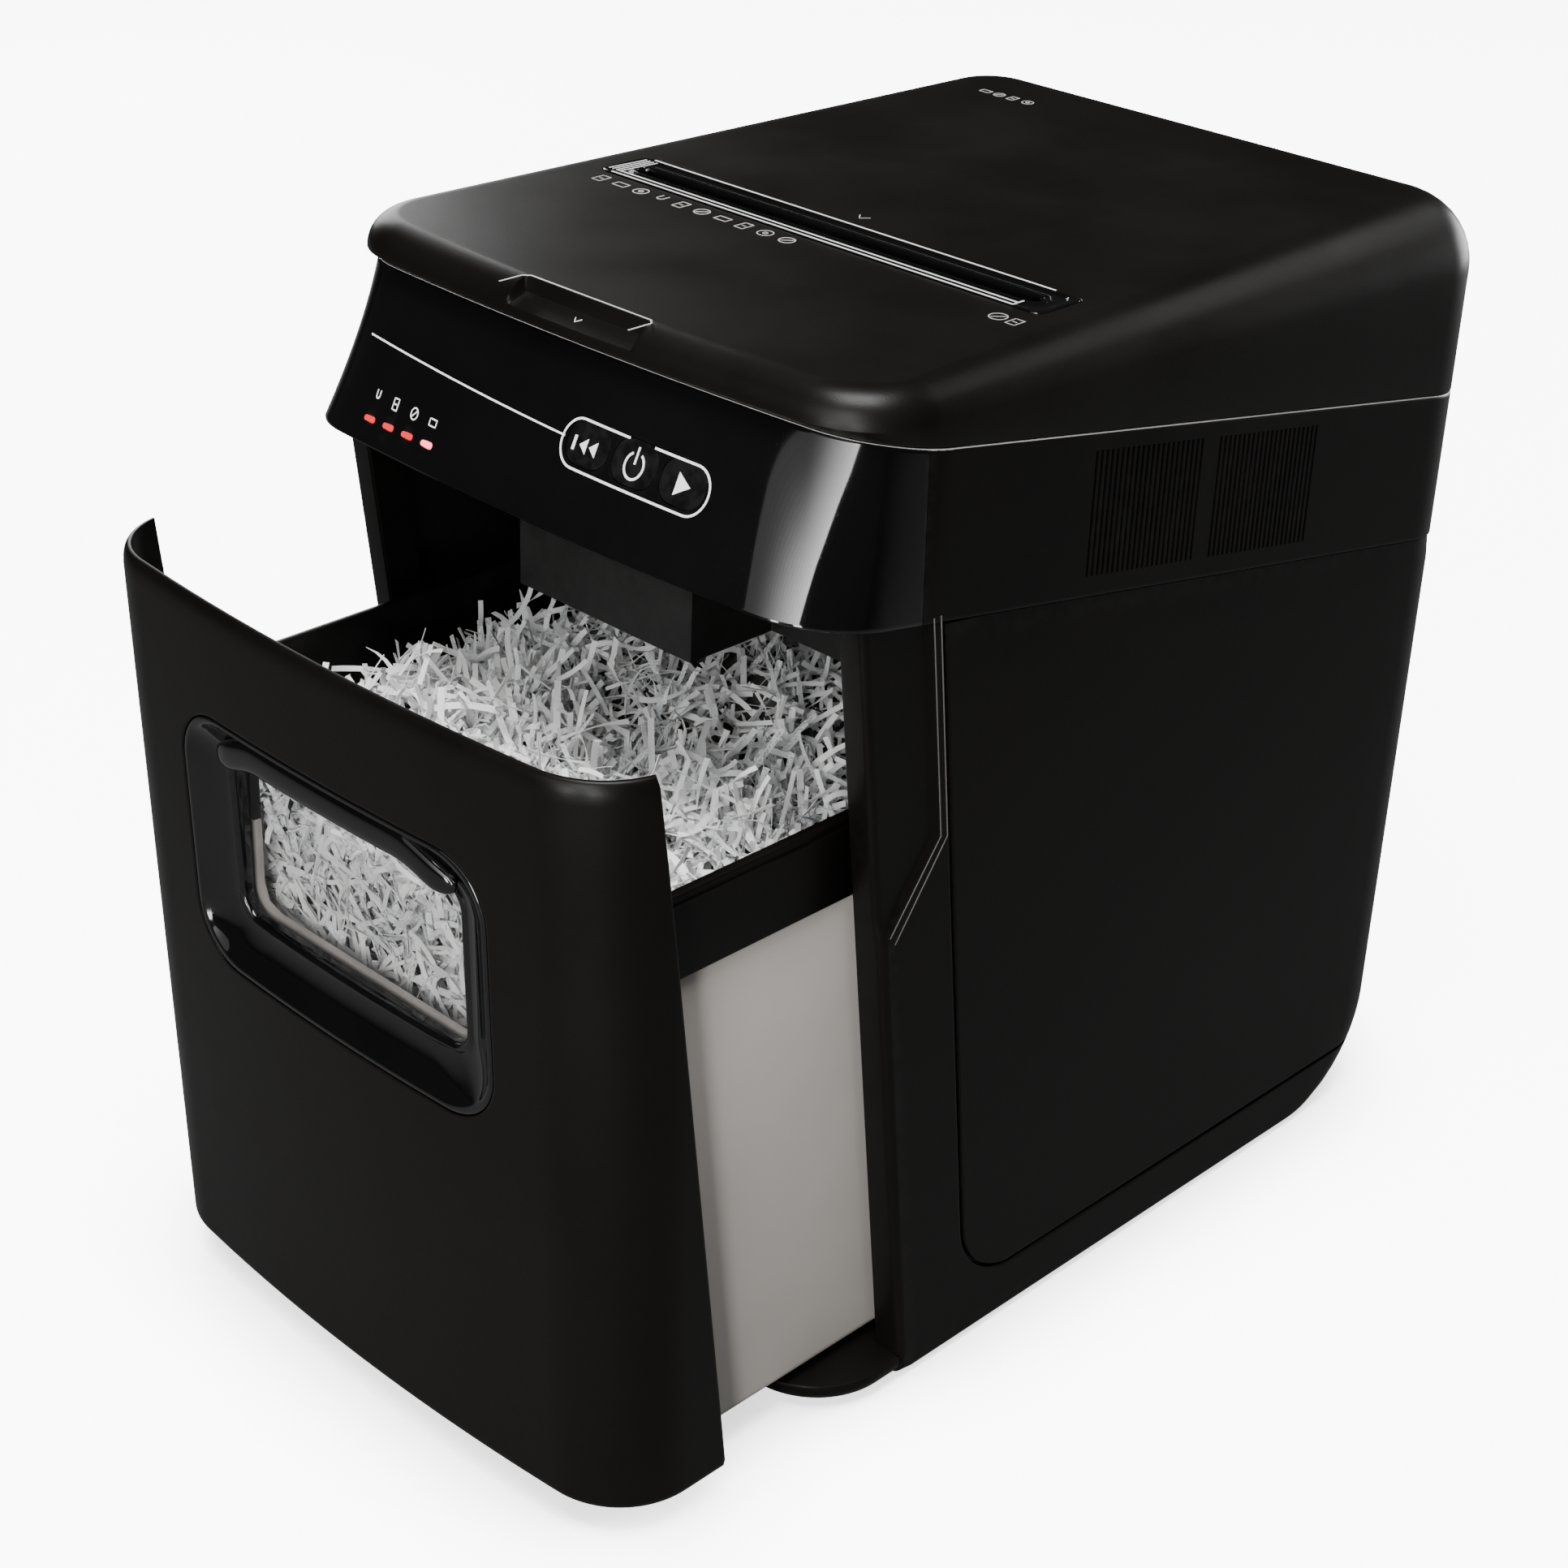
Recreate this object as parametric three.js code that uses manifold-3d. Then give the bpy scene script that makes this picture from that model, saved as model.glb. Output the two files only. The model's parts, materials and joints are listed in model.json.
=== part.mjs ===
// Auto-feed paper shredder with a pull-out bin, drawn with the bin partly open.
// Millimetres, +Z up, -Y the front, +X the right-hand side seen from the front.
// Inside the machine group y = 0 is near the middle of the cabinet and z = 0 is the floor.

import * as THREE from 'three';
import { mergeVertices } from 'three/addons/utils/BufferGeometryUtils.js';
import Module from 'manifold-3d';

const wasm = await Module();
wasm.setup();

// ---------------------------------------------------------------- driving dimensions

// Body
const BODY_WIDTH = 330;
const BODY_HEIGHT = 490;
const BODY_BACK_Y = 230;
const WALL = 3;
const GAP = 0.3;
const BACK_CORNER_RADIUS = 44;
const FRONT_CORNER_RADIUS = 42;
const BOW_RADIUS = 1300;

// Seams: both fall towards the back by the same slope
const SEAM_FALL = 0.183;
const LID_RISE = 57;
const UPPER_SEAM_Z = BODY_HEIGHT - LID_RISE;
const HEAD_BAND_HEIGHT = 75;

// Control panel: leans forward towards its lower edge
const PANEL_TOP_Y = -214.5;
const PANEL_BOTTOM_Y = -248;
const PANEL_END_Y = -178;

// Lid
const LID_FRONT_Y = -220.5;
const LID_SHOULDER_FRONT = 14;
const LID_SHOULDER_BACK = 36;
const NOTCH_WIDTH = 76;
const NOTCH_BACK_Y = -208;
const NOTCH_DEPTH = 6;

// Manual feed slot
const SLOT_LENGTH = 244;
const SLOT_WIDTH = 8;
const SLOT_Y = -66;
const SLOT_FRAME_LENGTH = SLOT_LENGTH + 24;
const SLOT_FRAME_WIDTH = SLOT_WIDTH + 22;
const SLOT_FRAME_PROUD = 0.6;
const SLOT_FRAME_THICKNESS = 5;
const SLOT_DISH_BORDER = 4;
const SLOT_DISH_DEPTH = 1.5;
const SLOT_THROAT_WALL = 2;
const SLOT_THROAT_DEPTH = 26;

// Paper tray below the lid
const TRAY_WIDTH = SLOT_LENGTH - 20;
const TRAY_FRONT_Y = -192;
const TRAY_LENGTH = 286;
const TRAY_DEPTH = 23;
const DECK_THICKNESS = 2.5;
const DECK_DROP = 2.5;
const THROAT_HALF_WIDTH = 10;
const PRESS_PLATE_MARGIN = 16;

// Cabinet
const FOOT_HEIGHT = 3;
const FOOT_RADIUS = 13;
const FOOT_SIDE_MARGIN = 34;
const FOOT_FRONT_Y = -150;
const FOOT_REAR_MARGIN = 60;
const RUNNER = { x: 112, width: 10, height: 3, front: -140, back: 130 };
const BASE_THICKNESS = 10;
const BASE_FRONT_Y = -224;
const BASE_EDGE_RADIUS = 7;
const PILLAR_FOOT_Y = -160.5;
const PILLAR_LEAN = 0.127;
const PILLAR_WIDTH = 16;
const PILLAR_DEPTH = 24;
const PILLAR_CORNER_RADIUS = 4;
const BACK_FOOT_RADIUS = 52;

// Side panel set into each side frame
const PANEL_GROOVE_OFFSET = 46;
const PANEL_GROOVE_Z = 31;
const PANEL_GROOVE_RADIUS = 34;
const GROOVE_WIDTH = 1.6;
const REAR_PANEL_WIDTH = 236;

// Grip relief in the front edge of each side frame
const RELIEF_DEPTH = 2;
const RELIEF_WIDTH = 38;
const RELIEF_STRAIGHT_Z = UPPER_SEAM_Z - 145;
const RELIEF_TIP_Z = RELIEF_STRAIGHT_Z - 38;

// Ventilation slots in the cheeks
const VENT_BLOCK_STARTS = [-75, 12];
const VENT_COUNT = 11;
const VENT_WIDTH = 2.6;
const VENT_PITCH = 7;
const VENT_LOW_MARGIN = 10;
const VENT_HIGH_MARGIN = 8;

// Bin
const BIN_PULL_OUT = 110;
const COVER_TOP_Z = UPPER_SEAM_Z - 61;
const BIN_SIDE_ROOM = 6;
const BIN_TUB_WIDTH = BODY_WIDTH - 2 * (PILLAR_WIDTH + BIN_SIDE_ROOM);
const BIN_TUB_LENGTH = 400;
const BIN_TUB_BOTTOM_Z = 17;
const BIN_TUB_WALL = 2.5;
const BIN_TUB_RADIUS = 14;
const BIN_RIM_TOP_Z = COVER_TOP_Z - 69;
const BIN_TUB_TOP_Z = BIN_RIM_TOP_Z - 41;
const BIN_RIM_FLARE = 2.2;
const COVER_BOTTOM_Z = 15;
const COVER_WALL = 4;
const COVER_TOP_FRONT_Y = -248;
const COVER_BOTTOM_FRONT_Y = -236;
const COVER_GAP = 1.5;

// The tub's front wall just clears the bowed cover where its corners start
const BIN_FRONT_ROOM = 0.135;
const BOW_AT_TUB = (BIN_TUB_WIDTH / 2) ** 2 / (2 * BOW_RADIUS);
const BIN_TUB_FRONT_Y = COVER_BOTTOM_FRONT_Y + COVER_WALL + BOW_AT_TUB + BIN_FRONT_ROOM;

// Window and grip in the bin cover
const BEZEL_WIDTH = 200;
const BEZEL_TOP_Z = COVER_TOP_Z - 54;
const BEZEL_BOTTOM_Z = BEZEL_TOP_Z - 126;
const BEZEL_RADIUS = 28;
const BEZEL_BACK_GAP = 0.6;
const PANE_OPENING_WIDTH = BEZEL_WIDTH - 48;
const PANE_OPENING_TOP_Z = BEZEL_TOP_Z - 21;
const PANE_OPENING_BOTTOM_Z = PANE_OPENING_TOP_Z - 80;
const PANE_RADIUS = 12;
const PANE_THICKNESS = 2.2;
const PANE_LAP = 3;
const GRIP_LIP = 6;
const GRIP_WIDTH = BEZEL_WIDTH - 80;
const GRIP_HEIGHT = 16;

// Cutting block
const CUTTER_RADIUS = 15.2;
const CUTTER_GROOVE_RADIUS = 12.5;
const CUTTER_SPACING = 31;
const CUTTER_LENGTH = SLOT_LENGTH + 6;
const CUTTER_Z = UPPER_SEAM_Z - 41;
const CUTTER_DISCS = 5;
const JOURNAL_RADIUS = 5;
const BLOCK_PLATE_X = CUTTER_LENGTH / 2 + 5;
const BLOCK_PLATE_THICKNESS = 3;
const BLOCK_PLATE_FRONT_Y = -136;
const BLOCK_PLATE_BACK_Y = 112;
const TIE_ROD_RADIUS = 4;
const BORE_CLEARANCE = 0.4;

// Feed rollers
const ROLLER_RADIUS = 14;
const ROLLER_LENGTH = 34;
const ROLLER_X = 44;
const ROLLER_STAND_PROUD = 3;
const FEED_SHAFT_RADIUS = 4;
const ROLLER_BORE_RADIUS = FEED_SHAFT_RADIUS + 0.5;
const FEED_FRONT_Y = -114;
const FEED_REAR_Y = -18;

// Gear train and motor
const GEAR_WIDTH = 8;
const TOOTH_DEPTH = 2.4;
const DRIVE_GEAR_RADIUS = 20;
const IDLER_RADIUS = 26;
const PINION_RADIUS = 12;
const IDLER_A = { y: -4, z: CUTTER_Z + 3 };
const IDLER_B = { y: 47.4, z: CUTTER_Z - 8 };
const MOTOR = { y: 82, z: CUTTER_Z - 25 };
const PINION_SHAFT_RADIUS = 3.5;
const STUB_RADIUS = 5;
const MOTOR_RADIUS = 20;
const MOTOR_LENGTH = 112;

// Control buttons, in the plane of the control panel
const BUTTON_ROW_HEIGHT = 40;
const BUTTON_FACE_HEIGHT = 19;
const BUTTON_CENTRES = { reverse: 25, power: 52, forward: 79 };
const BUTTON_WIDTHS = { reverse: 24, power: 24, forward: 24 };
const BUTTON_DEPTH = 8;
const BUTTON_CLEARANCE = 0.4;
const LIGHT_CENTRES = [-109, -95, -81, -67];
const LIGHT_ROW_HEIGHT = 13;
const LIGHT_WIDTH = 8;
const LIGHT_HEIGHT = 2.6;
const BOARD_SETBACK = 14;
const BOARD = { width: 206, height: 44, thickness: 1.6, corner: 2 };

// Cutter housing below the head, with a nose at the middle of its front, and its chute
const HOUSING = {
  halfWidth: BODY_WIDTH / 2 - PILLAR_WIDTH - 2,
  front: -150,
  back: -8,
  noseHalfWidth: 55,
  noseFront: -199,
  bottom: COVER_TOP_Z - 31,
};
const CHUTE = {
  halfWidth: CUTTER_LENGTH / 2 + 1,
  front: SLOT_Y - 38,
  back: SLOT_Y + 38,
  top: CUTTER_Z - 20,
  wall: 2,
};

// Rear power switch and inlet
const SWITCH = { x: 72, z: UPPER_SEAM_Z - 61, halfWidth: 10, halfHeight: 7, frame: 3 };
const INLET = { x: 30, z: UPPER_SEAM_Z - 61, halfWidth: 12, halfHeight: 9, wall: 2.5 };
const REAR_FITTING_PROUD = 1.5;

// Hinge, behind the lid
const HINGE_Y_OFFSET = 5.5;
const HINGE_PIN_RADIUS = 2.5;
const HINGE_KNUCKLE_RADIUS = 5;
const HINGE_X = 108;
const HINGE_KNUCKLE_LENGTH = 12;
const HINGE_LEAF_HEIGHT = 24;
const HINGE_RISE = 2;

// ---------------------------------------------------------------- derived places

const HALF_WIDTH = BODY_WIDTH / 2;
const LOWER_SEAM_Z = UPPER_SEAM_Z - HEAD_BAND_HEIGHT;
const BASE_TOP_Z = FOOT_HEIGHT + BASE_THICKNESS;
const OVERSHOOT = 5;
const FAR = 1000;
const CUTTER_FRONT_Y = SLOT_Y - CUTTER_SPACING / 2;
const CUTTER_REAR_Y = SLOT_Y + CUTTER_SPACING / 2;
const HINGE_Y = BODY_BACK_Y + HINGE_Y_OFFSET;

function upperSeam(y) {
  return UPPER_SEAM_Z - SEAM_FALL * y;
}

function lowerSeam(y) {
  return LOWER_SEAM_Z - SEAM_FALL * y;
}

function pillarFront(z) {
  return PILLAR_FOOT_Y - PILLAR_LEAN * z;
}

function coverFront(z) {
  const share = (z - COVER_BOTTOM_Z) / (COVER_TOP_Z - COVER_BOTTOM_Z);
  return THREE.MathUtils.lerp(COVER_BOTTOM_FRONT_Y, COVER_TOP_FRONT_Y, share);
}

function trayFloor(y) {
  return upperSeam(y) - TRAY_DEPTH;
}

// ---------------------------------------------------------------- solids

function toSolid(geometry) {
  const bare = geometry.index ? geometry.clone() : geometry;
  bare.deleteAttribute('normal');
  bare.deleteAttribute('uv');
  const merged = mergeVertices(bare, 1e-4);
  const mesh = new wasm.Mesh({
    numProp: 3,
    vertProperties: new Float32Array(merged.attributes.position.array),
    triVerts: new Uint32Array(merged.index.array),
  });
  return new wasm.Manifold(mesh);
}

function toGeometry(solid) {
  const mesh = solid.getMesh();
  const geometry = new THREE.BufferGeometry();
  geometry.setAttribute('position', new THREE.BufferAttribute(mesh.vertProperties, 3));
  geometry.setIndex(new THREE.BufferAttribute(mesh.triVerts, 1));
  geometry.computeVertexNormals();
  return geometry;
}

function join(...solids) {
  return solids.reduce((whole, piece) => whole.add(piece));
}

function cut(solid, ...tools) {
  return tools.reduce((rest, tool) => rest.subtract(tool), solid);
}

function box(x0, x1, y0, y1, z0, z1) {
  const geometry = new THREE.BoxGeometry(x1 - x0, y1 - y0, z1 - z0);
  geometry.translate((x0 + x1) / 2, (y0 + y1) / 2, (z0 + z1) / 2);
  return toSolid(geometry);
}

// A round bar along X, centred on the origin.
function bar(radius, length, sides = 20) {
  const geometry = new THREE.CylinderGeometry(radius, radius, length, sides);
  geometry.rotateZ(Math.PI / 2);
  return toSolid(geometry);
}

// A turned solid about X: each profile point is [radius, distance along X].
function turned(profile, sides) {
  const points = profile.map(([radius, along]) => new THREE.Vector2(radius, along));
  const geometry = new THREE.LatheGeometry(points, sides);
  geometry.rotateZ(-Math.PI / 2);
  return toSolid(geometry);
}

// A closed loft through rings of equal point count, lowest ring first.
function loft(rings) {
  const count = rings[0].length;
  const index = [];
  for (let level = 0; level + 1 < rings.length; level++) {
    for (let i = 0; i < count; i++) {
      const a = level * count + i;
      const b = level * count + (i + 1) % count;
      index.push(a, b, b + count, a, b + count, a + count);
    }
  }
  const caps = [[rings[0], 0, -1], [rings.at(-1), (rings.length - 1) * count, 1]];
  for (const [points, start, facing] of caps) {
    const flat = points.map((point) => new THREE.Vector2(point.x, point.y));
    for (const triangle of THREE.ShapeUtils.triangulateShape(flat, [])) {
      const area = THREE.ShapeUtils.area(triangle.map((corner) => flat[corner]));
      const ordered = Math.sign(area) === facing ? triangle : [...triangle].reverse();
      index.push(...ordered.map((corner) => corner + start));
    }
  }
  const geometry = new THREE.BufferGeometry();
  const positions = rings.flat().flatMap((point) => [point.x, point.y, point.z]);
  geometry.setAttribute('position', new THREE.Float32BufferAttribute(positions, 3));
  geometry.setIndex(index);
  return toSolid(geometry);
}

// A shape drawn in (y, z), extruded along X from x0 to x1.
function sidePrism(points, x0, x1) {
  const shape = points instanceof THREE.Shape ? points : new THREE.Shape(toVectors(points));
  const options = { depth: x1 - x0, bevelEnabled: false, curveSegments: 5 };
  const geometry = new THREE.ExtrudeGeometry(shape, options);
  const axes = [new THREE.Vector3(0, 1, 0), new THREE.Vector3(0, 0, 1), new THREE.Vector3(1, 0, 0)];
  geometry.applyMatrix4(new THREE.Matrix4().makeBasis(...axes));
  geometry.translate(x0, 0, 0);
  return toSolid(geometry);
}

// A shape drawn in (x, z), extruded along Y from y0 to y1.
function frontPrism(shape, y0, y1) {
  const options = { depth: y1 - y0, bevelEnabled: false, curveSegments: 3 };
  const geometry = new THREE.ExtrudeGeometry(shape, options);
  geometry.rotateX(Math.PI / 2);
  geometry.translate(0, y1, 0);
  return toSolid(geometry);
}

function toVectors(points) {
  return points.map(([x, y]) => new THREE.Vector2(x, y));
}

// A rounded rectangle centred on (centreX, centreY).
function roundedRect(width, height, radius, centreX = 0, centreY = 0) {
  const x = width / 2;
  const y = height / 2;
  const shape = new THREE.Shape();
  shape.absarc(centreX + x - radius, centreY - y + radius, radius, -Math.PI / 2, 0);
  shape.absarc(centreX + x - radius, centreY + y - radius, radius, 0, Math.PI / 2);
  shape.absarc(centreX - x + radius, centreY + y - radius, radius, Math.PI / 2, Math.PI);
  shape.absarc(centreX - x + radius, centreY - y + radius, radius, Math.PI, Math.PI * 1.5);
  shape.closePath();
  return shape;
}

// ---------------------------------------------------------------- plan outlines

// Points on an arc with their outward normals; both end angles are included.
function arcPoints(centreX, centreY, radius, from, to, steps) {
  return Array.from({ length: steps + 1 }, (_, i) => {
    const angle = THREE.MathUtils.lerp(from, to, i / steps);
    const nx = Math.cos(angle);
    const ny = Math.sin(angle);
    return { x: centreX + radius * nx, y: centreY + radius * ny, nx, ny };
  });
}

// The body seen from above, anticlockwise: a bowed front that runs smoothly into
// round front corners, straight sides, round back corners and a flat back.
function bodyPlan({ front, back = BODY_BACK_Y, frontRadius = FRONT_CORNER_RADIUS }) {
  const backRadius = BACK_CORNER_RADIUS;
  const cornerX = HALF_WIDTH - frontRadius;
  const bowCentreY = front + BOW_RADIUS;
  const reach = BOW_RADIUS - frontRadius;
  const cornerY = bowCentreY - Math.sqrt(reach ** 2 - cornerX ** 2);
  const turn = Math.asin(cornerX / reach);
  const right = -Math.PI / 2 + turn;
  const left = -Math.PI / 2 - turn;
  const backX = HALF_WIDTH - backRadius;
  const backY = back - backRadius;
  return [
    ...arcPoints(0, bowCentreY, BOW_RADIUS, left, right, 6),
    ...arcPoints(cornerX, cornerY, frontRadius, right, 0, 5).slice(1),
    ...arcPoints(backX, backY, backRadius, 0, Math.PI / 2, 5),
    ...arcPoints(-backX, backY, backRadius, Math.PI / 2, Math.PI, 5),
    ...arcPoints(-cornerX, cornerY, frontRadius, Math.PI, left + 2 * Math.PI, 5).slice(0, -1),
  ];
}

function valueAt(value, y) {
  return typeof value === 'function' ? value(y) : value;
}

// One loft ring: the plan moved inwards by inset and lifted to height.
// Both can be numbers or functions of y.
function ring(plan, height, inset = 0) {
  return bodyPlan(plan).map(({ x, y, nx, ny }) => {
    const step = valueAt(inset, y);
    return new THREE.Vector3(x - nx * step, y - ny * step, valueAt(height, y - ny * step));
  });
}

// A box with level or sloping top and bottom; low and high can be functions of y.
function slopedBox(x0, x1, y0, y1, low, high) {
  const corners = [[x0, y0], [x1, y0], [x1, y1], [x0, y1]];
  return loft([low, high].map((height) => (
    corners.map(([x, y]) => new THREE.Vector3(x, y, valueAt(height, y)))
  )));
}

// ---------------------------------------------------------------- materials

function material(color, roughness, metalness = 0, extra = {}) {
  return new THREE.MeshStandardMaterial({ color, roughness, metalness, ...extra });
}

const satinBlack = () => material(0x1b1a19, 0.45);
const glossBlack = () => material(0x070707, 0.08);
const innerBlack = () => material(0x121212, 0.7);
const binGrey = () => material(0x95908b, 0.5);
const clearPlastic = () => material(0xdfe3e4, 0.05, 0, { transparent: true, opacity: 0.25 });
const steel = () => material(0x9a9c9e, 0.35, 1);
const darkSteel = () => material(0x55575a, 0.4, 1);
const rubber = () => material(0x1c1c1c, 0.9);
const gearPlastic = () => material(0xd8d4c8, 0.5);
const circuitGreen = () => material(0x1d5a35, 0.5);
const lampRed = () => material(0xff2a2a, 0.2, 0, { emissive: 0xff2020 });
const buttonBlack = () => material(0x0b0b0b, 0.15);

function piece(group, name, solid, look, place = [0, 0, 0]) {
  const mesh = new THREE.Mesh(toGeometry(solid), look());
  mesh.name = name;
  mesh.position.set(...place);
  group.add(mesh);
  return mesh;
}

// ---------------------------------------------------------------- cabinet

// The cabinet as one solid, from its underside up to the lower seam, moved inwards by
// inset; extra carries both ends past the underside and the seam.
function cabinetBlock(inset, extra = 0) {
  const bottom = FOOT_HEIGHT;
  const backAt = (z) => {
    const drop = Math.max(0, bottom + BACK_FOOT_RADIUS - z);
    return BODY_BACK_Y - BACK_FOOT_RADIUS + Math.sqrt(BACK_FOOT_RADIUS ** 2 - drop ** 2);
  };
  const heights = [0, 0.03, 0.12, 0.28, 0.5, 0.75, 1].map((share) => bottom + share * BACK_FOOT_RADIUS);
  const planAt = (z, back) => ({ front: pillarFront(z), back, frontRadius: PILLAR_CORNER_RADIUS });
  const rings = heights.map((z) => ring(planAt(z, backAt(z)), z, inset));
  if (extra > 0) rings.unshift(ring(planAt(bottom, backAt(bottom)), bottom - extra, inset));
  const topZ = lowerSeam(pillarFront(LOWER_SEAM_Z));
  rings.push(ring(planAt(topZ, BODY_BACK_Y), (y) => lowerSeam(y) - GAP / 2 + extra, inset));
  return loft(rings);
}

// The outline of the side panel in (y, z), grown by a margin into the groove.
function sidePanelOutline(margin) {
  const bottom = PANEL_GROOVE_Z - margin;
  const frontAt = (z) => pillarFront(z) + PANEL_GROOVE_OFFSET - margin;
  const radius = PANEL_GROOVE_RADIUS;
  const shape = new THREE.Shape();
  shape.moveTo(frontAt(bottom) + radius, bottom);
  shape.lineTo(BODY_BACK_Y + OVERSHOOT, bottom);
  shape.lineTo(BODY_BACK_Y + OVERSHOOT, BODY_HEIGHT);
  shape.lineTo(frontAt(BODY_HEIGHT), BODY_HEIGHT);
  shape.lineTo(frontAt(bottom + radius), bottom + radius);
  shape.quadraticCurveTo(frontAt(bottom), bottom, frontAt(bottom) + radius, bottom);
  return shape;
}

// The shallow relief behind the front edge of a side frame, in (y, z).
function reliefOutline() {
  const ahead = -OVERSHOOT;
  return [
    [pillarFront(RELIEF_TIP_Z), RELIEF_TIP_Z],
    [pillarFront(RELIEF_STRAIGHT_Z) + RELIEF_WIDTH, RELIEF_STRAIGHT_Z],
    [pillarFront(LOWER_SEAM_Z) + RELIEF_WIDTH, BODY_HEIGHT],
    [pillarFront(LOWER_SEAM_Z) + ahead - PILLAR_DEPTH, BODY_HEIGHT],
    [pillarFront(RELIEF_TIP_Z) + ahead, RELIEF_TIP_Z],
  ];
}

// Everything ahead of a line that runs setBack behind the pillars' leaning front edge.
function aheadOf(setBack, x0, x1) {
  const low = -OVERSHOOT;
  const high = BODY_HEIGHT;
  return sidePrism([
    [-FAR, low],
    [pillarFront(low) + setBack, low],
    [pillarFront(high) + setBack, high],
    [-FAR, high],
  ], x0, x1);
}

function addCabinet(group) {
  const outer = cabinetBlock(0);
  const openingHalf = HALF_WIDTH - PILLAR_WIDTH;
  const opening = aheadOf(PILLAR_DEPTH * 2, -openingHalf, openingHalf);
  const pillars = [[-FAR, -openingHalf], [openingHalf, FAR]]
    .map((span) => outer.intersect(aheadOf(PILLAR_DEPTH, ...span)));
  const skin = join(cut(outer, cabinetBlock(WALL, OVERSHOOT), opening), ...pillars);
  const rearZone = (grow) => {
    const half = REAR_PANEL_WIDTH / 2 + grow;
    return box(-half, half, 0, FAR, PANEL_GROOVE_Z + BACK_FOOT_RADIUS - grow, FAR);
  };
  for (const [side, sign] of [['left', -1], ['right', 1]]) {
    const half = sign > 0 ? [GAP / 2, HALF_WIDTH + OVERSHOOT] : [-HALF_WIDTH - OVERSHOOT, -GAP / 2];
    const panelZone = sidePrism(sidePanelOutline(0), ...half);
    const panelHole = sidePrism(sidePanelOutline(GROOVE_WIDTH), ...half);
    const halfSkin = skin.intersect(box(...half, -FAR, FAR, -1, FAR));
    const reliefFloor = HALF_WIDTH - RELIEF_DEPTH;
    const relief = sidePrism(reliefOutline(), ...(sign > 0 ? [reliefFloor, FAR] : [-FAR, -reliefFloor]));
    const floorSpace = baseSpace();
    piece(group, `side_frame_${side}`, cut(halfSkin, panelHole, relief, floorSpace), satinBlack);
    piece(group, `side_panel_${side}`, cut(halfSkin.intersect(panelZone), rearZone(GAP)), satinBlack);
  }
  piece(group, 'rear_panel', skin.intersect(rearZone(0)), satinBlack);
}

// The tray's floor between the side frames, grown by a margin.
function baseFloor(grow) {
  const front = pillarFront(BASE_TOP_Z) - WALL - 1;
  const back = BODY_BACK_Y - BACK_FOOT_RADIUS;
  const plan = { front, back, frontRadius: PILLAR_CORNER_RADIUS };
  const inset = WALL + GAP - grow;
  return loft([ring(plan, FOOT_HEIGHT - grow, inset), ring(plan, BASE_TOP_Z + grow, inset)]);
}

// The room that the base tray takes, with its clearance.
function baseSpace() {
  const plan = { front: BASE_FRONT_Y };
  return loft([ring(plan, -1, -GAP), ring(plan, BASE_TOP_Z + GAP, -GAP)])
    .intersect(box(-FAR, FAR, -FAR, pillarFront(BASE_TOP_Z), -1, BASE_TOP_Z + GAP))
    .add(baseFloor(GAP));
}

function addBase(group) {
  const plan = { front: BASE_FRONT_Y };
  const steps = [0, 30, 60, 90].map(THREE.MathUtils.degToRad);
  const rings = steps.map((angle) => ring(
    plan,
    FOOT_HEIGHT + BASE_EDGE_RADIUS * (1 - Math.cos(angle)),
    BASE_EDGE_RADIUS * (1 - Math.sin(angle)),
  ));
  rings.push(ring(plan, BASE_TOP_Z));
  const aheadOfPillars = box(-FAR, FAR, -FAR, pillarFront(BASE_TOP_Z) - GAP, 0, BASE_TOP_Z);
  const tongue = loft(rings).intersect(aheadOfPillars);
  piece(group, 'base_tray', join(tongue, baseFloor(0)), satinBlack);

  const footX = HALF_WIDTH - FOOT_SIDE_MARGIN;
  const footRearY = BODY_BACK_Y - BACK_FOOT_RADIUS - FOOT_REAR_MARGIN;
  const footRows = { front: FOOT_FRONT_Y, rear: footRearY };
  for (const [row, y] of Object.entries(footRows)) {
    for (const [side, sign] of [['left', -1], ['right', 1]]) {
      const pad = new THREE.CylinderGeometry(FOOT_RADIUS, FOOT_RADIUS - 1, FOOT_HEIGHT - GAP / 3, 20);
      pad.rotateX(Math.PI / 2);
      pad.translate(0, 0, (FOOT_HEIGHT - GAP / 3) / 2);
      piece(group, `foot_${row}_${side}`, toSolid(pad), rubber, [sign * footX, y, 0]);
    }
  }
  for (const [side, sign] of [['left', -1], ['right', 1]]) {
    const { x, width, height, front, back } = RUNNER;
    const rail = box(-width / 2, width / 2, front, back, 0, height);
    piece(group, `runner_${side}`, rail, steel, [sign * x, 0, BASE_TOP_Z + GAP]);
  }
}

// ---------------------------------------------------------------- head

// The head band as one solid between the seams, moved inwards by inset.
// extra carries both ends past the seams along the lean of the panel.
function headBlock(inset, extra = 0) {
  const lean = (PANEL_TOP_Y - PANEL_BOTTOM_Y) / HEAD_BAND_HEIGHT;
  return loft([
    ring({ front: PANEL_BOTTOM_Y - extra * lean }, (y) => lowerSeam(y) + GAP / 2 - extra, inset),
    ring({ front: PANEL_TOP_Y + extra * lean }, (y) => upperSeam(y) - GAP / 2 + extra, inset),
  ]);
}

// Upright ventilation slots through the cheeks, in two blocks a side.
function ventSlots() {
  const low = (y) => lowerSeam(y) + VENT_LOW_MARGIN;
  const high = (y) => upperSeam(y) - VENT_HIGH_MARGIN;
  const slots = [];
  for (const blockStart of VENT_BLOCK_STARTS) {
    for (let i = 0; i < VENT_COUNT; i++) {
      const y = blockStart + i * VENT_PITCH;
      slots.push(slopedBox(-FAR, FAR, y, y + VENT_WIDTH, low, high));
    }
  }
  return slots;
}

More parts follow.
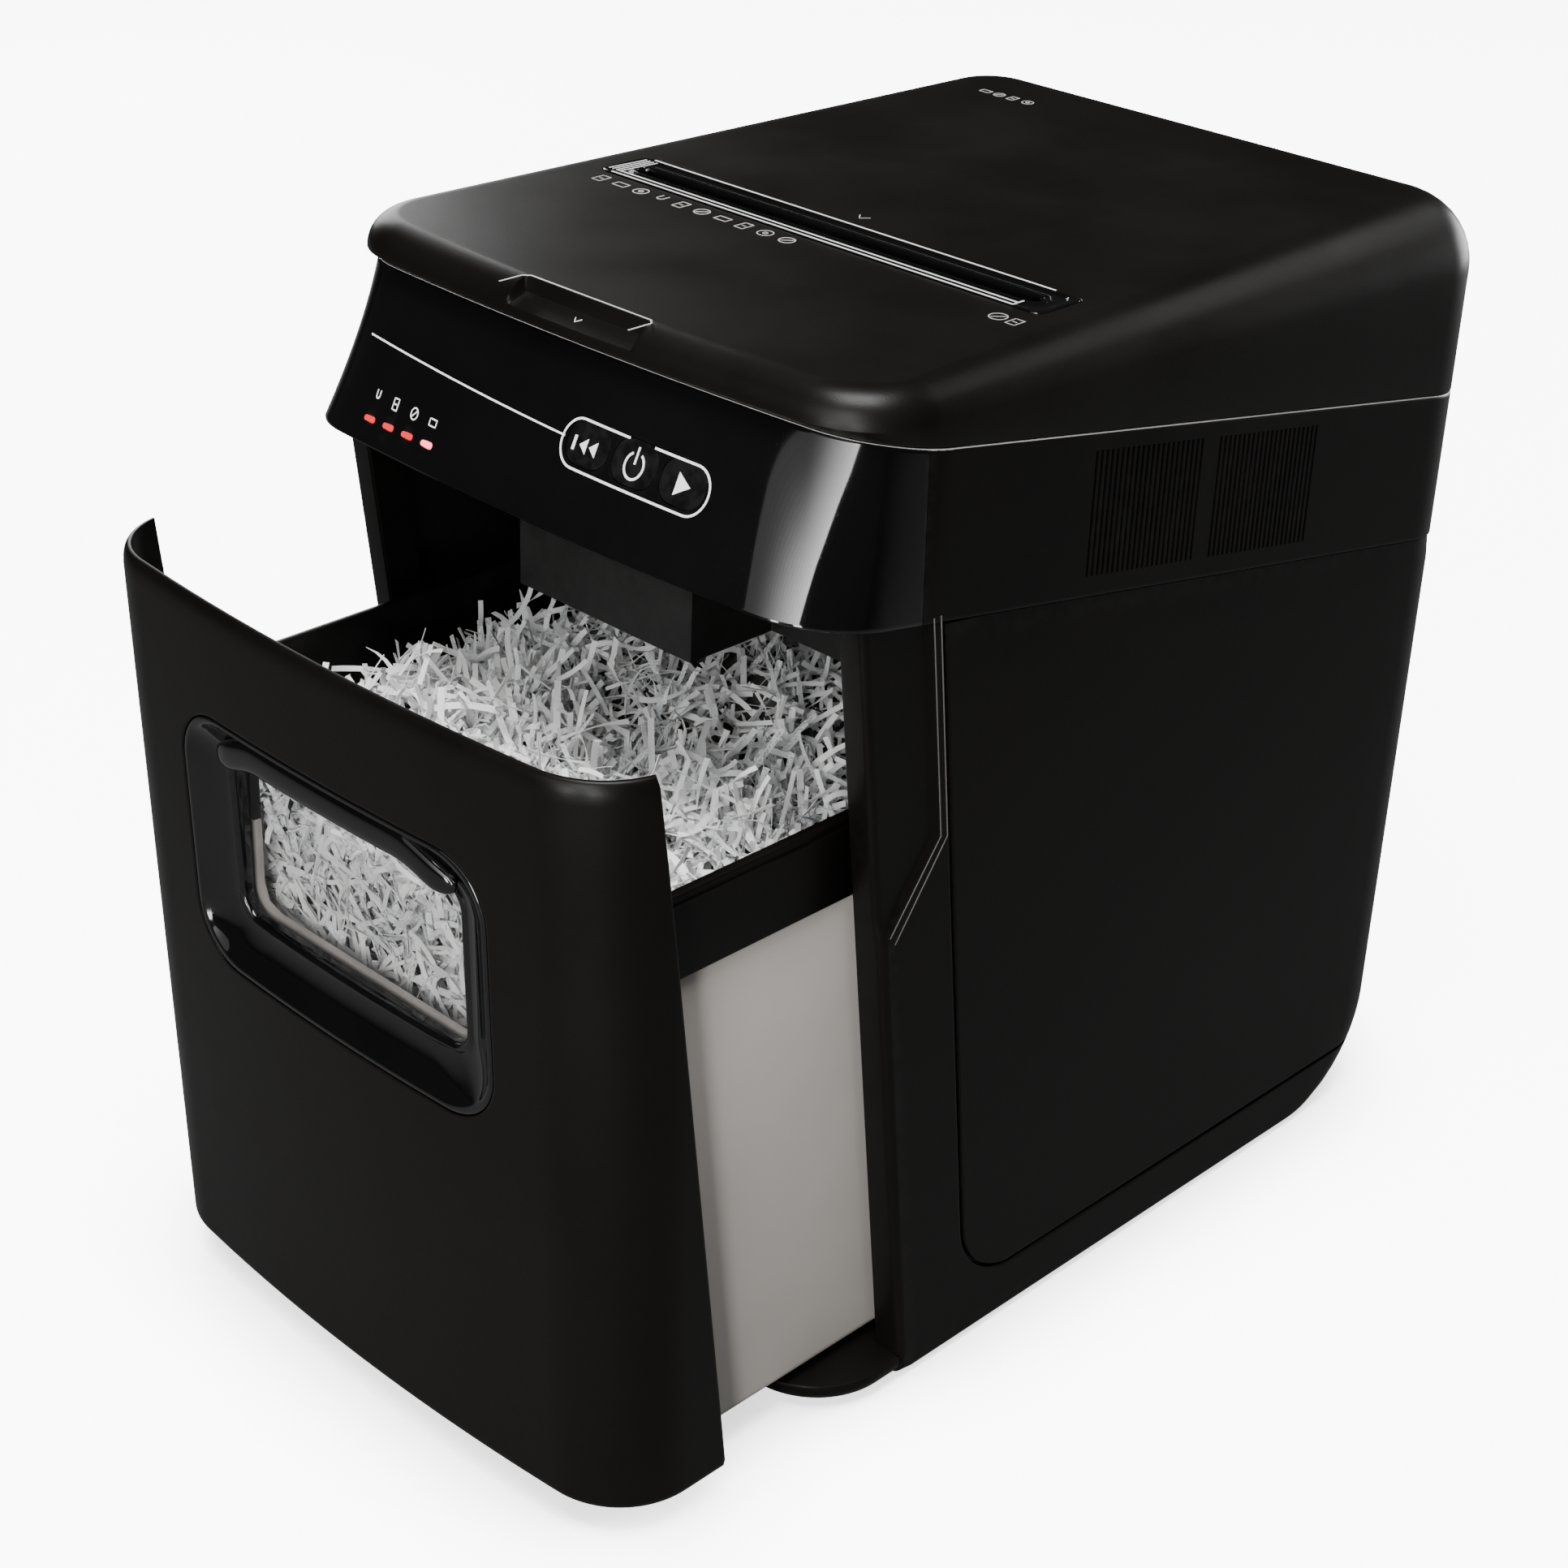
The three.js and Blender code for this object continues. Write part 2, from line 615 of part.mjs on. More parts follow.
// A matrix that carries (across, up the face, out of the face) into the machine.
function panelFrame() {
  const rise = upperSeam(PANEL_TOP_Y) - lowerSeam(PANEL_BOTTOM_Y);
  const up = new THREE.Vector3(0, PANEL_TOP_Y - PANEL_BOTTOM_Y, rise).normalize();
  const across = new THREE.Vector3(1, 0, 0);
  const out = new THREE.Vector3().crossVectors(across, up);
  const frame = new THREE.Matrix4().makeBasis(across, up, out);
  frame.setPosition(0, PANEL_BOTTOM_Y, lowerSeam(PANEL_BOTTOM_Y));
  return frame;
}

// A shape drawn on the face of the control panel, run from behind it to in front of it.
function panelPrism(shape, behind, ahead = 10, curveSegments = 3) {
  const options = { depth: behind + ahead, bevelEnabled: false, curveSegments };
  const geometry = new THREE.ExtrudeGeometry(shape, options);
  geometry.translate(0, 0, -behind);
  geometry.applyMatrix4(panelFrame());
  return toSolid(geometry);
}

function buttonShape(name, clearance) {
  const height = BUTTON_FACE_HEIGHT + 2 * clearance;
  const width = BUTTON_WIDTHS[name] + 2 * clearance;
  return roundedRect(width, height, height / 2.4, BUTTON_CENTRES[name], BUTTON_ROW_HEIGHT);
}

function addHead(group) {
  const band = cut(headBlock(0), headBlock(WALL, OVERSHOOT));
  const behindPanel = box(-FAR, FAR, PANEL_END_Y + GAP / 2, FAR, 0, FAR);
  const atPanel = box(-FAR, FAR, -FAR, PANEL_END_Y - GAP / 2, 0, FAR);
  const rearHole = ({ x, z, halfWidth, halfHeight, frame = 0 }) => {
    const halfX = halfWidth + frame + GAP;
    const halfZ = halfHeight + frame + GAP;
    return box(x - halfX, x + halfX, 0, FAR, z - halfZ, z + halfZ);
  };
  const shell = cut(band.intersect(behindPanel), ...ventSlots(), rearHole(SWITCH), rearHole(INLET));
  piece(group, 'head_shell', shell, satinBlack);

  const names = Object.keys(BUTTON_CENTRES);
  const windows = names.map((name) => panelPrism(buttonShape(name, BUTTON_CLEARANCE), 20));
  const lightShape = (centre, grow) => roundedRect(
    LIGHT_WIDTH + 2 * grow, LIGHT_HEIGHT + 2 * grow, LIGHT_HEIGHT / 2, centre, LIGHT_ROW_HEIGHT,
  );
  const lightHoles = LIGHT_CENTRES.map((centre) => panelPrism(lightShape(centre, GAP), 20, 10, 1));
  piece(group, 'control_panel', cut(band.intersect(atPanel), ...windows, ...lightHoles), glossBlack);

  const face = headBlock(0);
  const buttonSlab = cut(face, headBlock(BUTTON_DEPTH, OVERSHOOT));
  for (const name of names) {
    const cap = buttonSlab.intersect(panelPrism(buttonShape(name, 0), 20));
    piece(group, `button_${name}`, cap, buttonBlack);
  }

  const prongs = LIGHT_CENTRES.map((centre) => panelPrism(lightShape(centre, 0), 20, 10, 1));
  const pipeDepth = WALL + 3;
  const lensSlab = cut(face, headBlock(pipeDepth, OVERSHOOT));
  const backSlab = cut(headBlock(WALL + GAP, OVERSHOOT), headBlock(pipeDepth, OVERSHOOT));
  const spineLength = LIGHT_CENTRES.at(-1) - LIGHT_CENTRES[0] + LIGHT_WIDTH;
  const spineCentre = (LIGHT_CENTRES[0] + LIGHT_CENTRES.at(-1)) / 2;
  const spine = panelPrism(roundedRect(spineLength, 5, 1.5, spineCentre, LIGHT_ROW_HEIGHT), 20, 10, 1);
  const lights = join(backSlab.intersect(spine), ...prongs.map((prong) => lensSlab.intersect(prong)));
  piece(group, 'status_lights', lights, lampRed);

  const boardShape = roundedRect(BOARD.width, BOARD.height, BOARD.corner, 0, BUTTON_ROW_HEIGHT - 2);
  const boardBack = BOARD_SETBACK + 6;
  const board = panelPrism(boardShape, boardBack, BOARD.thickness - boardBack, 1);
  piece(group, 'main_board', board, circuitGreen);

  const floorPlan = { front: PANEL_BOTTOM_Y + 2 };
  const floorInset = WALL + GAP;
  const floorPlate = loft([
    ring(floorPlan, (y) => lowerSeam(y) + 0.5, floorInset),
    ring(floorPlan, (y) => lowerSeam(y) + 0.5 + DECK_THICKNESS, floorInset),
  ]);
  const chuteHole = box(-CHUTE.halfWidth - GAP * 3, CHUTE.halfWidth + GAP * 3,
    CHUTE.front - GAP * 3, CHUTE.back + GAP * 3, 0, FAR);
  piece(group, 'head_floor', cut(floorPlate, chuteHole), innerBlack);
}

function addHousing(group) {
  const top = (y) => lowerSeam(y) + 0.5 - GAP;
  const above = (y) => lowerSeam(y) + OVERSHOOT;
  const { halfWidth, front, back, noseHalfWidth, noseFront, bottom } = HOUSING;
  const outer = join(
    slopedBox(-halfWidth, halfWidth, front, back, bottom, top),
    slopedBox(-noseHalfWidth, noseHalfWidth, noseFront, front + WALL, bottom, top),
  );
  const inner = join(
    slopedBox(-halfWidth + WALL, halfWidth - WALL, front + WALL, back - WALL, bottom + WALL, above),
    slopedBox(
      -noseHalfWidth + WALL, noseHalfWidth - WALL,
      noseFront + WALL, front + WALL * 2, bottom + WALL, above,
    ),
  );
  const mouth = box(-CHUTE.halfWidth, CHUTE.halfWidth, CHUTE.front, CHUTE.back, 0, FAR);
  piece(group, 'cutter_housing', cut(outer, inner, mouth), innerBlack);

  const chute = cut(
    box(-CHUTE.halfWidth, CHUTE.halfWidth, CHUTE.front, CHUTE.back, HOUSING.bottom + WALL + GAP, CHUTE.top),
    box(-CHUTE.halfWidth + CHUTE.wall, CHUTE.halfWidth - CHUTE.wall,
      CHUTE.front + CHUTE.wall, CHUTE.back - CHUTE.wall, 0, FAR),
  );
  piece(group, 'chute', chute, innerBlack);
}

function addDeck(group) {
  const inset = WALL + GAP;
  const plan = { front: PANEL_TOP_Y };
  const top = -DECK_DROP;
  const deck = loft([
    ring(plan, (y) => upperSeam(y) + top - DECK_THICKNESS, inset),
    ring(plan, (y) => upperSeam(y) + top, inset),
  ]);
  const trayBack = TRAY_FRONT_Y + TRAY_LENGTH;
  const half = TRAY_WIDTH / 2;
  const wall = DECK_THICKNESS;
  const tub = slopedBox(
    -half - wall, half + wall, TRAY_FRONT_Y - wall, trayBack + wall,
    (y) => trayFloor(y) - wall, (y) => upperSeam(y) + top,
  );
  const space = slopedBox(-half, half, TRAY_FRONT_Y, trayBack, trayFloor, (y) => upperSeam(y) + OVERSHOOT);
  const throat = box(-SLOT_LENGTH / 2, SLOT_LENGTH / 2,
    SLOT_Y - THROAT_HALF_WIDTH, SLOT_Y + THROAT_HALF_WIDTH, 0, FAR);
  const windows = [];
  for (const y of [FEED_FRONT_Y, FEED_REAR_Y]) {
    for (const sign of [-1, 1]) {
      const centre = sign * ROLLER_X;
      const reach = ROLLER_LENGTH / 2 + 2;
      windows.push(box(centre - reach, centre + reach, y - ROLLER_RADIUS, y + ROLLER_RADIUS, 0, FAR));
    }
  }
  const opening = throat.intersect(space.add(tub));
  piece(group, 'tray_deck', cut(join(deck, tub), space, opening, ...windows), satinBlack);
}

// ---------------------------------------------------------------- cutting block and drive

function plateOutline() {
  const low = (y) => lowerSeam(y) + 4;
  const high = (y) => upperSeam(y) - 8;
  return [
    [BLOCK_PLATE_FRONT_Y, low(BLOCK_PLATE_FRONT_Y)],
    [BLOCK_PLATE_BACK_Y, low(BLOCK_PLATE_BACK_Y)],
    [BLOCK_PLATE_BACK_Y, high(BLOCK_PLATE_BACK_Y)],
    [BLOCK_PLATE_FRONT_Y, high(BLOCK_PLATE_FRONT_Y)],
  ];
}

// A plain spur gear about X: square-tipped teeth on a pitch disc, with a bore.
function gear(radius, bore, teeth) {
  const shape = new THREE.Shape();
  for (let i = 0; i < teeth; i++) {
    const corners = [[0.0, radius - TOOTH_DEPTH], [0.2, radius], [0.5, radius], [0.7, radius - TOOTH_DEPTH]];
    for (const [share, reach] of corners) {
      const angle = ((i + share) / teeth) * 2 * Math.PI;
      const point = [reach * Math.cos(angle), reach * Math.sin(angle)];
      if (i === 0 && share === 0) shape.moveTo(...point);
      else shape.lineTo(...point);
    }
  }
  shape.closePath();
  const solid = sidePrism(shape, -GEAR_WIDTH / 2, GEAR_WIDTH / 2);
  return bore > 0 ? cut(solid, bar(bore, GEAR_WIDTH * 3, 12)) : solid;
}

// A cutter cylinder with its grooves; seats gives how far each journal reaches past it.
function cutterShaft(seats) {
  const leftEnd = -CUTTER_LENGTH / 2 - seats.left;
  const rightEnd = CUTTER_LENGTH / 2 + seats.right;
  const profile = [[0, leftEnd], [JOURNAL_RADIUS, leftEnd], [JOURNAL_RADIUS, -CUTTER_LENGTH / 2]];
  const pitch = CUTTER_LENGTH / CUTTER_DISCS;
  for (let i = 0; i < CUTTER_DISCS; i++) {
    const start = -CUTTER_LENGTH / 2 + i * pitch;
    profile.push([CUTTER_RADIUS, start], [CUTTER_RADIUS, start + pitch * 0.7]);
    if (i + 1 < CUTTER_DISCS) {
      profile.push([CUTTER_GROOVE_RADIUS, start + pitch * 0.7], [CUTTER_GROOVE_RADIUS, start + pitch]);
    }
  }
  const lastEdge = CUTTER_LENGTH / 2 - pitch * 0.3;
  profile.push([JOURNAL_RADIUS, lastEdge], [JOURNAL_RADIUS, rightEnd], [0, rightEnd]);
  return turned(profile, 12);
}

function addCuttingBlock(group) {
  const plateX = [BLOCK_PLATE_X, BLOCK_PLATE_X + BLOCK_PLATE_THICKNESS];
  const gearX = plateX[1] + GAP * 4 + GEAR_WIDTH / 2;
  const gearSeat = plateX[1] + GAP * 4 + GEAR_WIDTH - CUTTER_LENGTH / 2;
  const feedZ = (y) => trayFloor(y) + ROLLER_STAND_PROUD - ROLLER_RADIUS;
  const tieRods = {
    front: [BLOCK_PLATE_FRONT_Y + 9, CUTTER_Z + 12],
    rear: [BLOCK_PLATE_BACK_Y - 8, CUTTER_Z - 40],
  };
  const bores = [
    [JOURNAL_RADIUS, CUTTER_FRONT_Y, CUTTER_Z],
    [JOURNAL_RADIUS, CUTTER_REAR_Y, CUTTER_Z],
    [FEED_SHAFT_RADIUS, FEED_FRONT_Y, feedZ(FEED_FRONT_Y)],
    [FEED_SHAFT_RADIUS, FEED_REAR_Y, feedZ(FEED_REAR_Y)],
    [TIE_ROD_RADIUS, ...tieRods.front],
    [TIE_ROD_RADIUS, ...tieRods.rear],
    [PINION_SHAFT_RADIUS + 0.5, MOTOR.y, MOTOR.z],
  ];
  const holes = bores.map(([radius, y, z]) => bar(radius + BORE_CLEARANCE, FAR, 12).translate([0, y, z]));
  const stub = ({ y, z }) => bar(STUB_RADIUS, GEAR_WIDTH + GAP * 6, 16)
    .translate([plateX[1] + (GEAR_WIDTH + GAP * 6) / 2 - 0.1, y, z]);
  const rightPlate = join(
    cut(sidePrism(plateOutline(), ...plateX), ...holes), stub(IDLER_A), stub(IDLER_B),
  );
  const leftPlate = cut(sidePrism(plateOutline(), -plateX[1], -plateX[0]), ...holes);
  piece(group, 'cutter_plate_right', rightPlate, steel);
  piece(group, 'cutter_plate_left', leftPlate, steel);

  for (const [row, [y, z]] of Object.entries(tieRods)) {
    piece(group, `tie_rod_${row}`, bar(TIE_ROD_RADIUS, 2 * plateX[1] + 2, 12), steel, [0, y, z]);
  }

  const frontSeats = { left: gearSeat, right: plateX[1] + 1 - CUTTER_LENGTH / 2 };
  const rearSeats = { left: gearSeat, right: gearSeat };
  piece(group, 'cutter_front', cutterShaft(frontSeats), darkSteel, [0, CUTTER_FRONT_Y, CUTTER_Z]);
  piece(group, 'cutter_rear', cutterShaft(rearSeats), darkSteel, [0, CUTTER_REAR_Y, CUTTER_Z]);
  const cutterGear = gear(CUTTER_SPACING / 2 - GAP / 2, JOURNAL_RADIUS + GAP, 8);
  piece(group, 'cutter_gear_front', cutterGear, gearPlastic, [-gearX, CUTTER_FRONT_Y, CUTTER_Z]);
  piece(group, 'cutter_gear_rear', cutterGear, gearPlastic, [-gearX, CUTTER_REAR_Y, CUTTER_Z]);
  const driveGear = gear(DRIVE_GEAR_RADIUS, JOURNAL_RADIUS + GAP, 10);
  piece(group, 'drive_gear', driveGear, gearPlastic, [gearX, CUTTER_REAR_Y, CUTTER_Z]);

  const idler = gear(IDLER_RADIUS, STUB_RADIUS + BORE_CLEARANCE, 13);
  piece(group, 'idler_gear_front', idler, gearPlastic, [gearX, IDLER_A.y, IDLER_A.z]);
  piece(group, 'idler_gear_rear', idler, gearPlastic, [gearX, IDLER_B.y, IDLER_B.z]);

  const shaftStart = BLOCK_PLATE_X - GAP;
  const shaftLength = gearX + GEAR_WIDTH / 2 - shaftStart;
  const pinionShaft = bar(PINION_SHAFT_RADIUS, shaftLength, 12)
    .translate([-shaftLength / 2 + GEAR_WIDTH / 2, 0, 0]);
  const pinion = join(gear(PINION_RADIUS, 0, 6), pinionShaft);
  piece(group, 'motor_pinion', pinion, steel, [gearX, MOTOR.y, MOTOR.z]);
  const motorEnd = shaftStart - GAP;
  const motorNeck = 14;
  const motor = turned([
    [0, -MOTOR_LENGTH], [MOTOR_RADIUS * 0.6, -MOTOR_LENGTH],
    [MOTOR_RADIUS * 0.6, -MOTOR_LENGTH + motorNeck], [MOTOR_RADIUS, -MOTOR_LENGTH + motorNeck],
    [MOTOR_RADIUS, 0], [0, 0],
  ], 20);
  piece(group, 'motor', motor, darkSteel, [motorEnd, MOTOR.y, MOTOR.z]);

  for (const [row, y] of [['front', FEED_FRONT_Y], ['rear', FEED_REAR_Y]]) {
    const z = feedZ(y);
    piece(group, `feed_shaft_${row}`, bar(FEED_SHAFT_RADIUS, 2 * plateX[1], 10), steel, [0, y, z]);
    for (const [side, sign] of [['left', -1], ['right', 1]]) {
      const bore = bar(ROLLER_BORE_RADIUS, ROLLER_LENGTH * 2, 10);
      const sleeve = cut(bar(ROLLER_RADIUS, ROLLER_LENGTH, 16), bore);
      piece(group, `feed_roller_${row}_${side}`, sleeve, rubber, [sign * ROLLER_X, y, z]);
    }
  }
}

// ---------------------------------------------------------------- rear switch and inlet

function addRearFittings(group) {
  const face = BODY_BACK_Y + REAR_FITTING_PROUD;
  const { x, z, halfWidth, halfHeight, frame } = SWITCH;
  const housing = cut(
    box(-halfWidth - frame, halfWidth + frame, face - 22, face, -halfHeight - frame, halfHeight + frame),
    box(-halfWidth, halfWidth, face - 14, face + OVERSHOOT, -halfHeight, halfHeight),
  );
  piece(group, 'switch_housing', housing, glossBlack, [x, 0, z]);

  const clearance = 0.5;
  const rocker = new THREE.Shape(toVectors([
    [-9, -halfHeight + clearance + 1],
    [1.6, -halfHeight + clearance + 0.4],
    [-0.2, 0],
    [1.6, halfHeight - clearance - 0.4],
    [-9, halfHeight - clearance - 1],
  ]));
  const rockerSolid = sidePrism(rocker, -halfWidth + clearance, halfWidth - clearance);
  piece(group, 'switch_rocker', rockerSolid, satinBlack, [x, face - 1.5, z]);

  const inlet = INLET;
  const socket = cut(
    box(-inlet.halfWidth, inlet.halfWidth, face - 20, face, -inlet.halfHeight, inlet.halfHeight),
    box(-inlet.halfWidth + inlet.wall, inlet.halfWidth - inlet.wall, face - 15, face + OVERSHOOT,
      -inlet.halfHeight + inlet.wall, inlet.halfHeight - inlet.wall),
  );
  const pins = [-5, 0, 5].map((pinX) => box(pinX - 0.9, pinX + 0.9, face - 16, face - 3, -1.8, 1.8));
  piece(group, 'power_inlet', join(socket, ...pins), innerBlack, [inlet.x, 0, inlet.z]);
}

// ---------------------------------------------------------------- lid

function shoulderAt(y) {
  const share = (y - LID_FRONT_Y) / (BODY_BACK_Y - LID_FRONT_Y);
  return THREE.MathUtils.lerp(LID_SHOULDER_FRONT, LID_SHOULDER_BACK, share);
}

// The lid as one solid: a wedge over the upper seam with a rolled shoulder.
function lidBlock(inset, drop) {
  const rings = [ring({ front: PANEL_TOP_Y }, (y) => upperSeam(y) + GAP / 2 - drop, inset)];
  for (const degrees of [0, 22.5, 45, 67.5, 90]) {
    const angle = THREE.MathUtils.degToRad(degrees);
    rings.push(ring(
      { front: LID_FRONT_Y },
      (y) => BODY_HEIGHT - inset - (shoulderAt(y) - inset) * (1 - Math.sin(angle)),
      (y) => inset + (shoulderAt(y) - inset) * (1 - Math.cos(angle)),
    ));
  }
  return loft(rings);
}

function addLid(group) {
  const padHalf = NOTCH_WIDTH / 2 + WALL;
  const notchPad = box(-padHalf, padHalf, -FAR, NOTCH_BACK_Y + WALL, 0, FAR);
  const hollow = cut(lidBlock(WALL, OVERSHOOT), notchPad);
  const underNotch = cut(
    lidBlock(WALL, OVERSHOOT).intersect(notchPad),
    slopedBox(-FAR, FAR, -FAR, 0, BODY_HEIGHT - NOTCH_DEPTH - WALL * 2, FAR),
  );
  const notchFloorZ = BODY_HEIGHT - NOTCH_DEPTH;
  const notch = sidePrism([
    [NOTCH_BACK_Y, notchFloorZ],
    [NOTCH_BACK_Y, BODY_HEIGHT + OVERSHOOT],
    [LID_FRONT_Y - OVERSHOOT, BODY_HEIGHT + OVERSHOOT],
    [LID_FRONT_Y - OVERSHOOT, notchFloorZ - NOTCH_DEPTH],
  ], -NOTCH_WIDTH / 2, NOTCH_WIDTH / 2);
  const slotHole = box(
    -SLOT_FRAME_LENGTH / 2 - GAP, SLOT_FRAME_LENGTH / 2 + GAP,
    SLOT_Y - SLOT_FRAME_WIDTH / 2 - GAP, SLOT_Y + SLOT_FRAME_WIDTH / 2 + GAP,
    UPPER_SEAM_Z + LID_RISE / 2, FAR,
  );
  const shell = cut(lidBlock(0, 0), hollow, underNotch, notch, slotHole);
  piece(group, 'lid_shell', shell, satinBlack);

  const frame = box(
    -SLOT_FRAME_LENGTH / 2, SLOT_FRAME_LENGTH / 2, -SLOT_FRAME_WIDTH / 2, SLOT_FRAME_WIDTH / 2,
    BODY_HEIGHT - SLOT_FRAME_THICKNESS, BODY_HEIGHT + SLOT_FRAME_PROUD,
  );
  const throat = box(
    -SLOT_LENGTH / 2 - SLOT_THROAT_WALL, SLOT_LENGTH / 2 + SLOT_THROAT_WALL,
    -SLOT_WIDTH / 2 - SLOT_THROAT_WALL, SLOT_WIDTH / 2 + SLOT_THROAT_WALL,
    BODY_HEIGHT - SLOT_THROAT_DEPTH, BODY_HEIGHT - SLOT_FRAME_THICKNESS + 1,
  );
  const slit = box(-SLOT_LENGTH / 2, SLOT_LENGTH / 2, -SLOT_WIDTH / 2, SLOT_WIDTH / 2, 0, FAR);
  const dishX = SLOT_FRAME_LENGTH / 2 - SLOT_DISH_BORDER;
  const dishY = SLOT_FRAME_WIDTH / 2 - SLOT_DISH_BORDER;
  const dish = box(-dishX, dishX, -dishY, dishY, BODY_HEIGHT - SLOT_DISH_DEPTH, FAR);
  piece(group, 'slot_insert', cut(join(frame, throat), slit, dish), glossBlack, [0, SLOT_Y, 0]);

  const plateHalf = TRAY_WIDTH / 2 - PRESS_PLATE_MARGIN;
  const slotMargin = 9;
  const spans = {
    front: [TRAY_FRONT_Y + 14, SLOT_Y - slotMargin],
    rear: [SLOT_Y + slotMargin, TRAY_FRONT_Y + TRAY_LENGTH - 34],
  };
  for (const [row, [y0, y1]] of Object.entries(spans)) {
    const plate = slopedBox(-plateHalf, plateHalf, y0, y1, (y) => upperSeam(y) - WALL, upperSeam);
    piece(group, `press_plate_${row}`, plate, innerBlack);
  }
}

// ---------------------------------------------------------------- lid hinge

function addHinge(group) {
  const hingeZ = upperSeam(HINGE_Y) + HINGE_RISE;
  const leafBack = HINGE_KNUCKLE_RADIUS - 1;
  const fixedWidth = HINGE_KNUCKLE_LENGTH;
  for (const [side, sign] of [['left', -1], ['right', 1]]) {
    const hole = bar(HINGE_PIN_RADIUS + BORE_CLEARANCE, FAR, 10);
    const knuckle = bar(HINGE_KNUCKLE_RADIUS, fixedWidth, 14);
    const leaf = (z0, z1) => box(-fixedWidth / 2, fixedWidth / 2, -HINGE_Y_OFFSET + GAP, leafBack, z0, z1);
    const bracket = cut(join(knuckle, leaf(-HINGE_LEAF_HEIGHT, 0)), hole);
    const place = [sign * HINGE_X, HINGE_Y, hingeZ];
    piece(group, `hinge_bracket_${side}`, bracket, satinBlack, place);
    const armX = sign * (HINGE_X - fixedWidth - GAP);
    const arm = cut(join(knuckle, leaf(0, HINGE_LEAF_HEIGHT)), hole);
    piece(group, `lid_hinge_arm_${side}`, arm, satinBlack, [armX, HINGE_Y, hingeZ]);
    const pinX = sign * (HINGE_X - fixedWidth / 2);
    const pin = bar(HINGE_PIN_RADIUS, 2 * fixedWidth + 2, 10);
    piece(group, `hinge_pin_${side}`, pin, steel, [pinX, HINGE_Y, hingeZ]);
  }
}

// ---------------------------------------------------------------- bin

function coverBlock(inset, extra = 0) {
  const edge = 2.4;
  const levels = [
    [COVER_BOTTOM_Z - extra, edge], [COVER_BOTTOM_Z + edge, 0.5], [COVER_BOTTOM_Z + 2 * edge, 0],
    [COVER_TOP_Z - 2 * edge, 0], [COVER_TOP_Z - edge, 0.5], [COVER_TOP_Z + extra, edge],
  ];
  return loft(levels.map(([z, round]) => ring(
    { front: coverFront(z) }, z, inset + (extra > 0 ? 0 : round),
  )));
}

function bezelShape(grow) {
  const height = BEZEL_TOP_Z - BEZEL_BOTTOM_Z;
  const centre = (BEZEL_TOP_Z + BEZEL_BOTTOM_Z) / 2;
  return roundedRect(BEZEL_WIDTH + 2 * grow, height + 2 * grow, BEZEL_RADIUS + grow, 0, centre);
}

function paneShape(grow) {
  const height = PANE_OPENING_TOP_Z - PANE_OPENING_BOTTOM_Z;
  const centre = (PANE_OPENING_TOP_Z + PANE_OPENING_BOTTOM_Z) / 2;
  return roundedRect(PANE_OPENING_WIDTH + 2 * grow, height + 2 * grow, PANE_RADIUS + grow, 0, centre);
}

// The dished recess of the bezel: wide at its face, narrow at the pane.
function bezelDish(frontY, paneY) {
  const outer = bezelShape(-3).getPoints(3);
  const inner = paneShape(0.6).getPoints(3);
  const rings = [[inner, paneY], [outer, frontY + 2], [outer, frontY - OVERSHOOT]];
  const solid = loft(rings.map(([points, y]) => points.slice(0, outer.length - 1)
    .map((point) => new THREE.Vector3(point.x, point.y, -y))));
  return solid.rotate([90, 0, 0]);
}

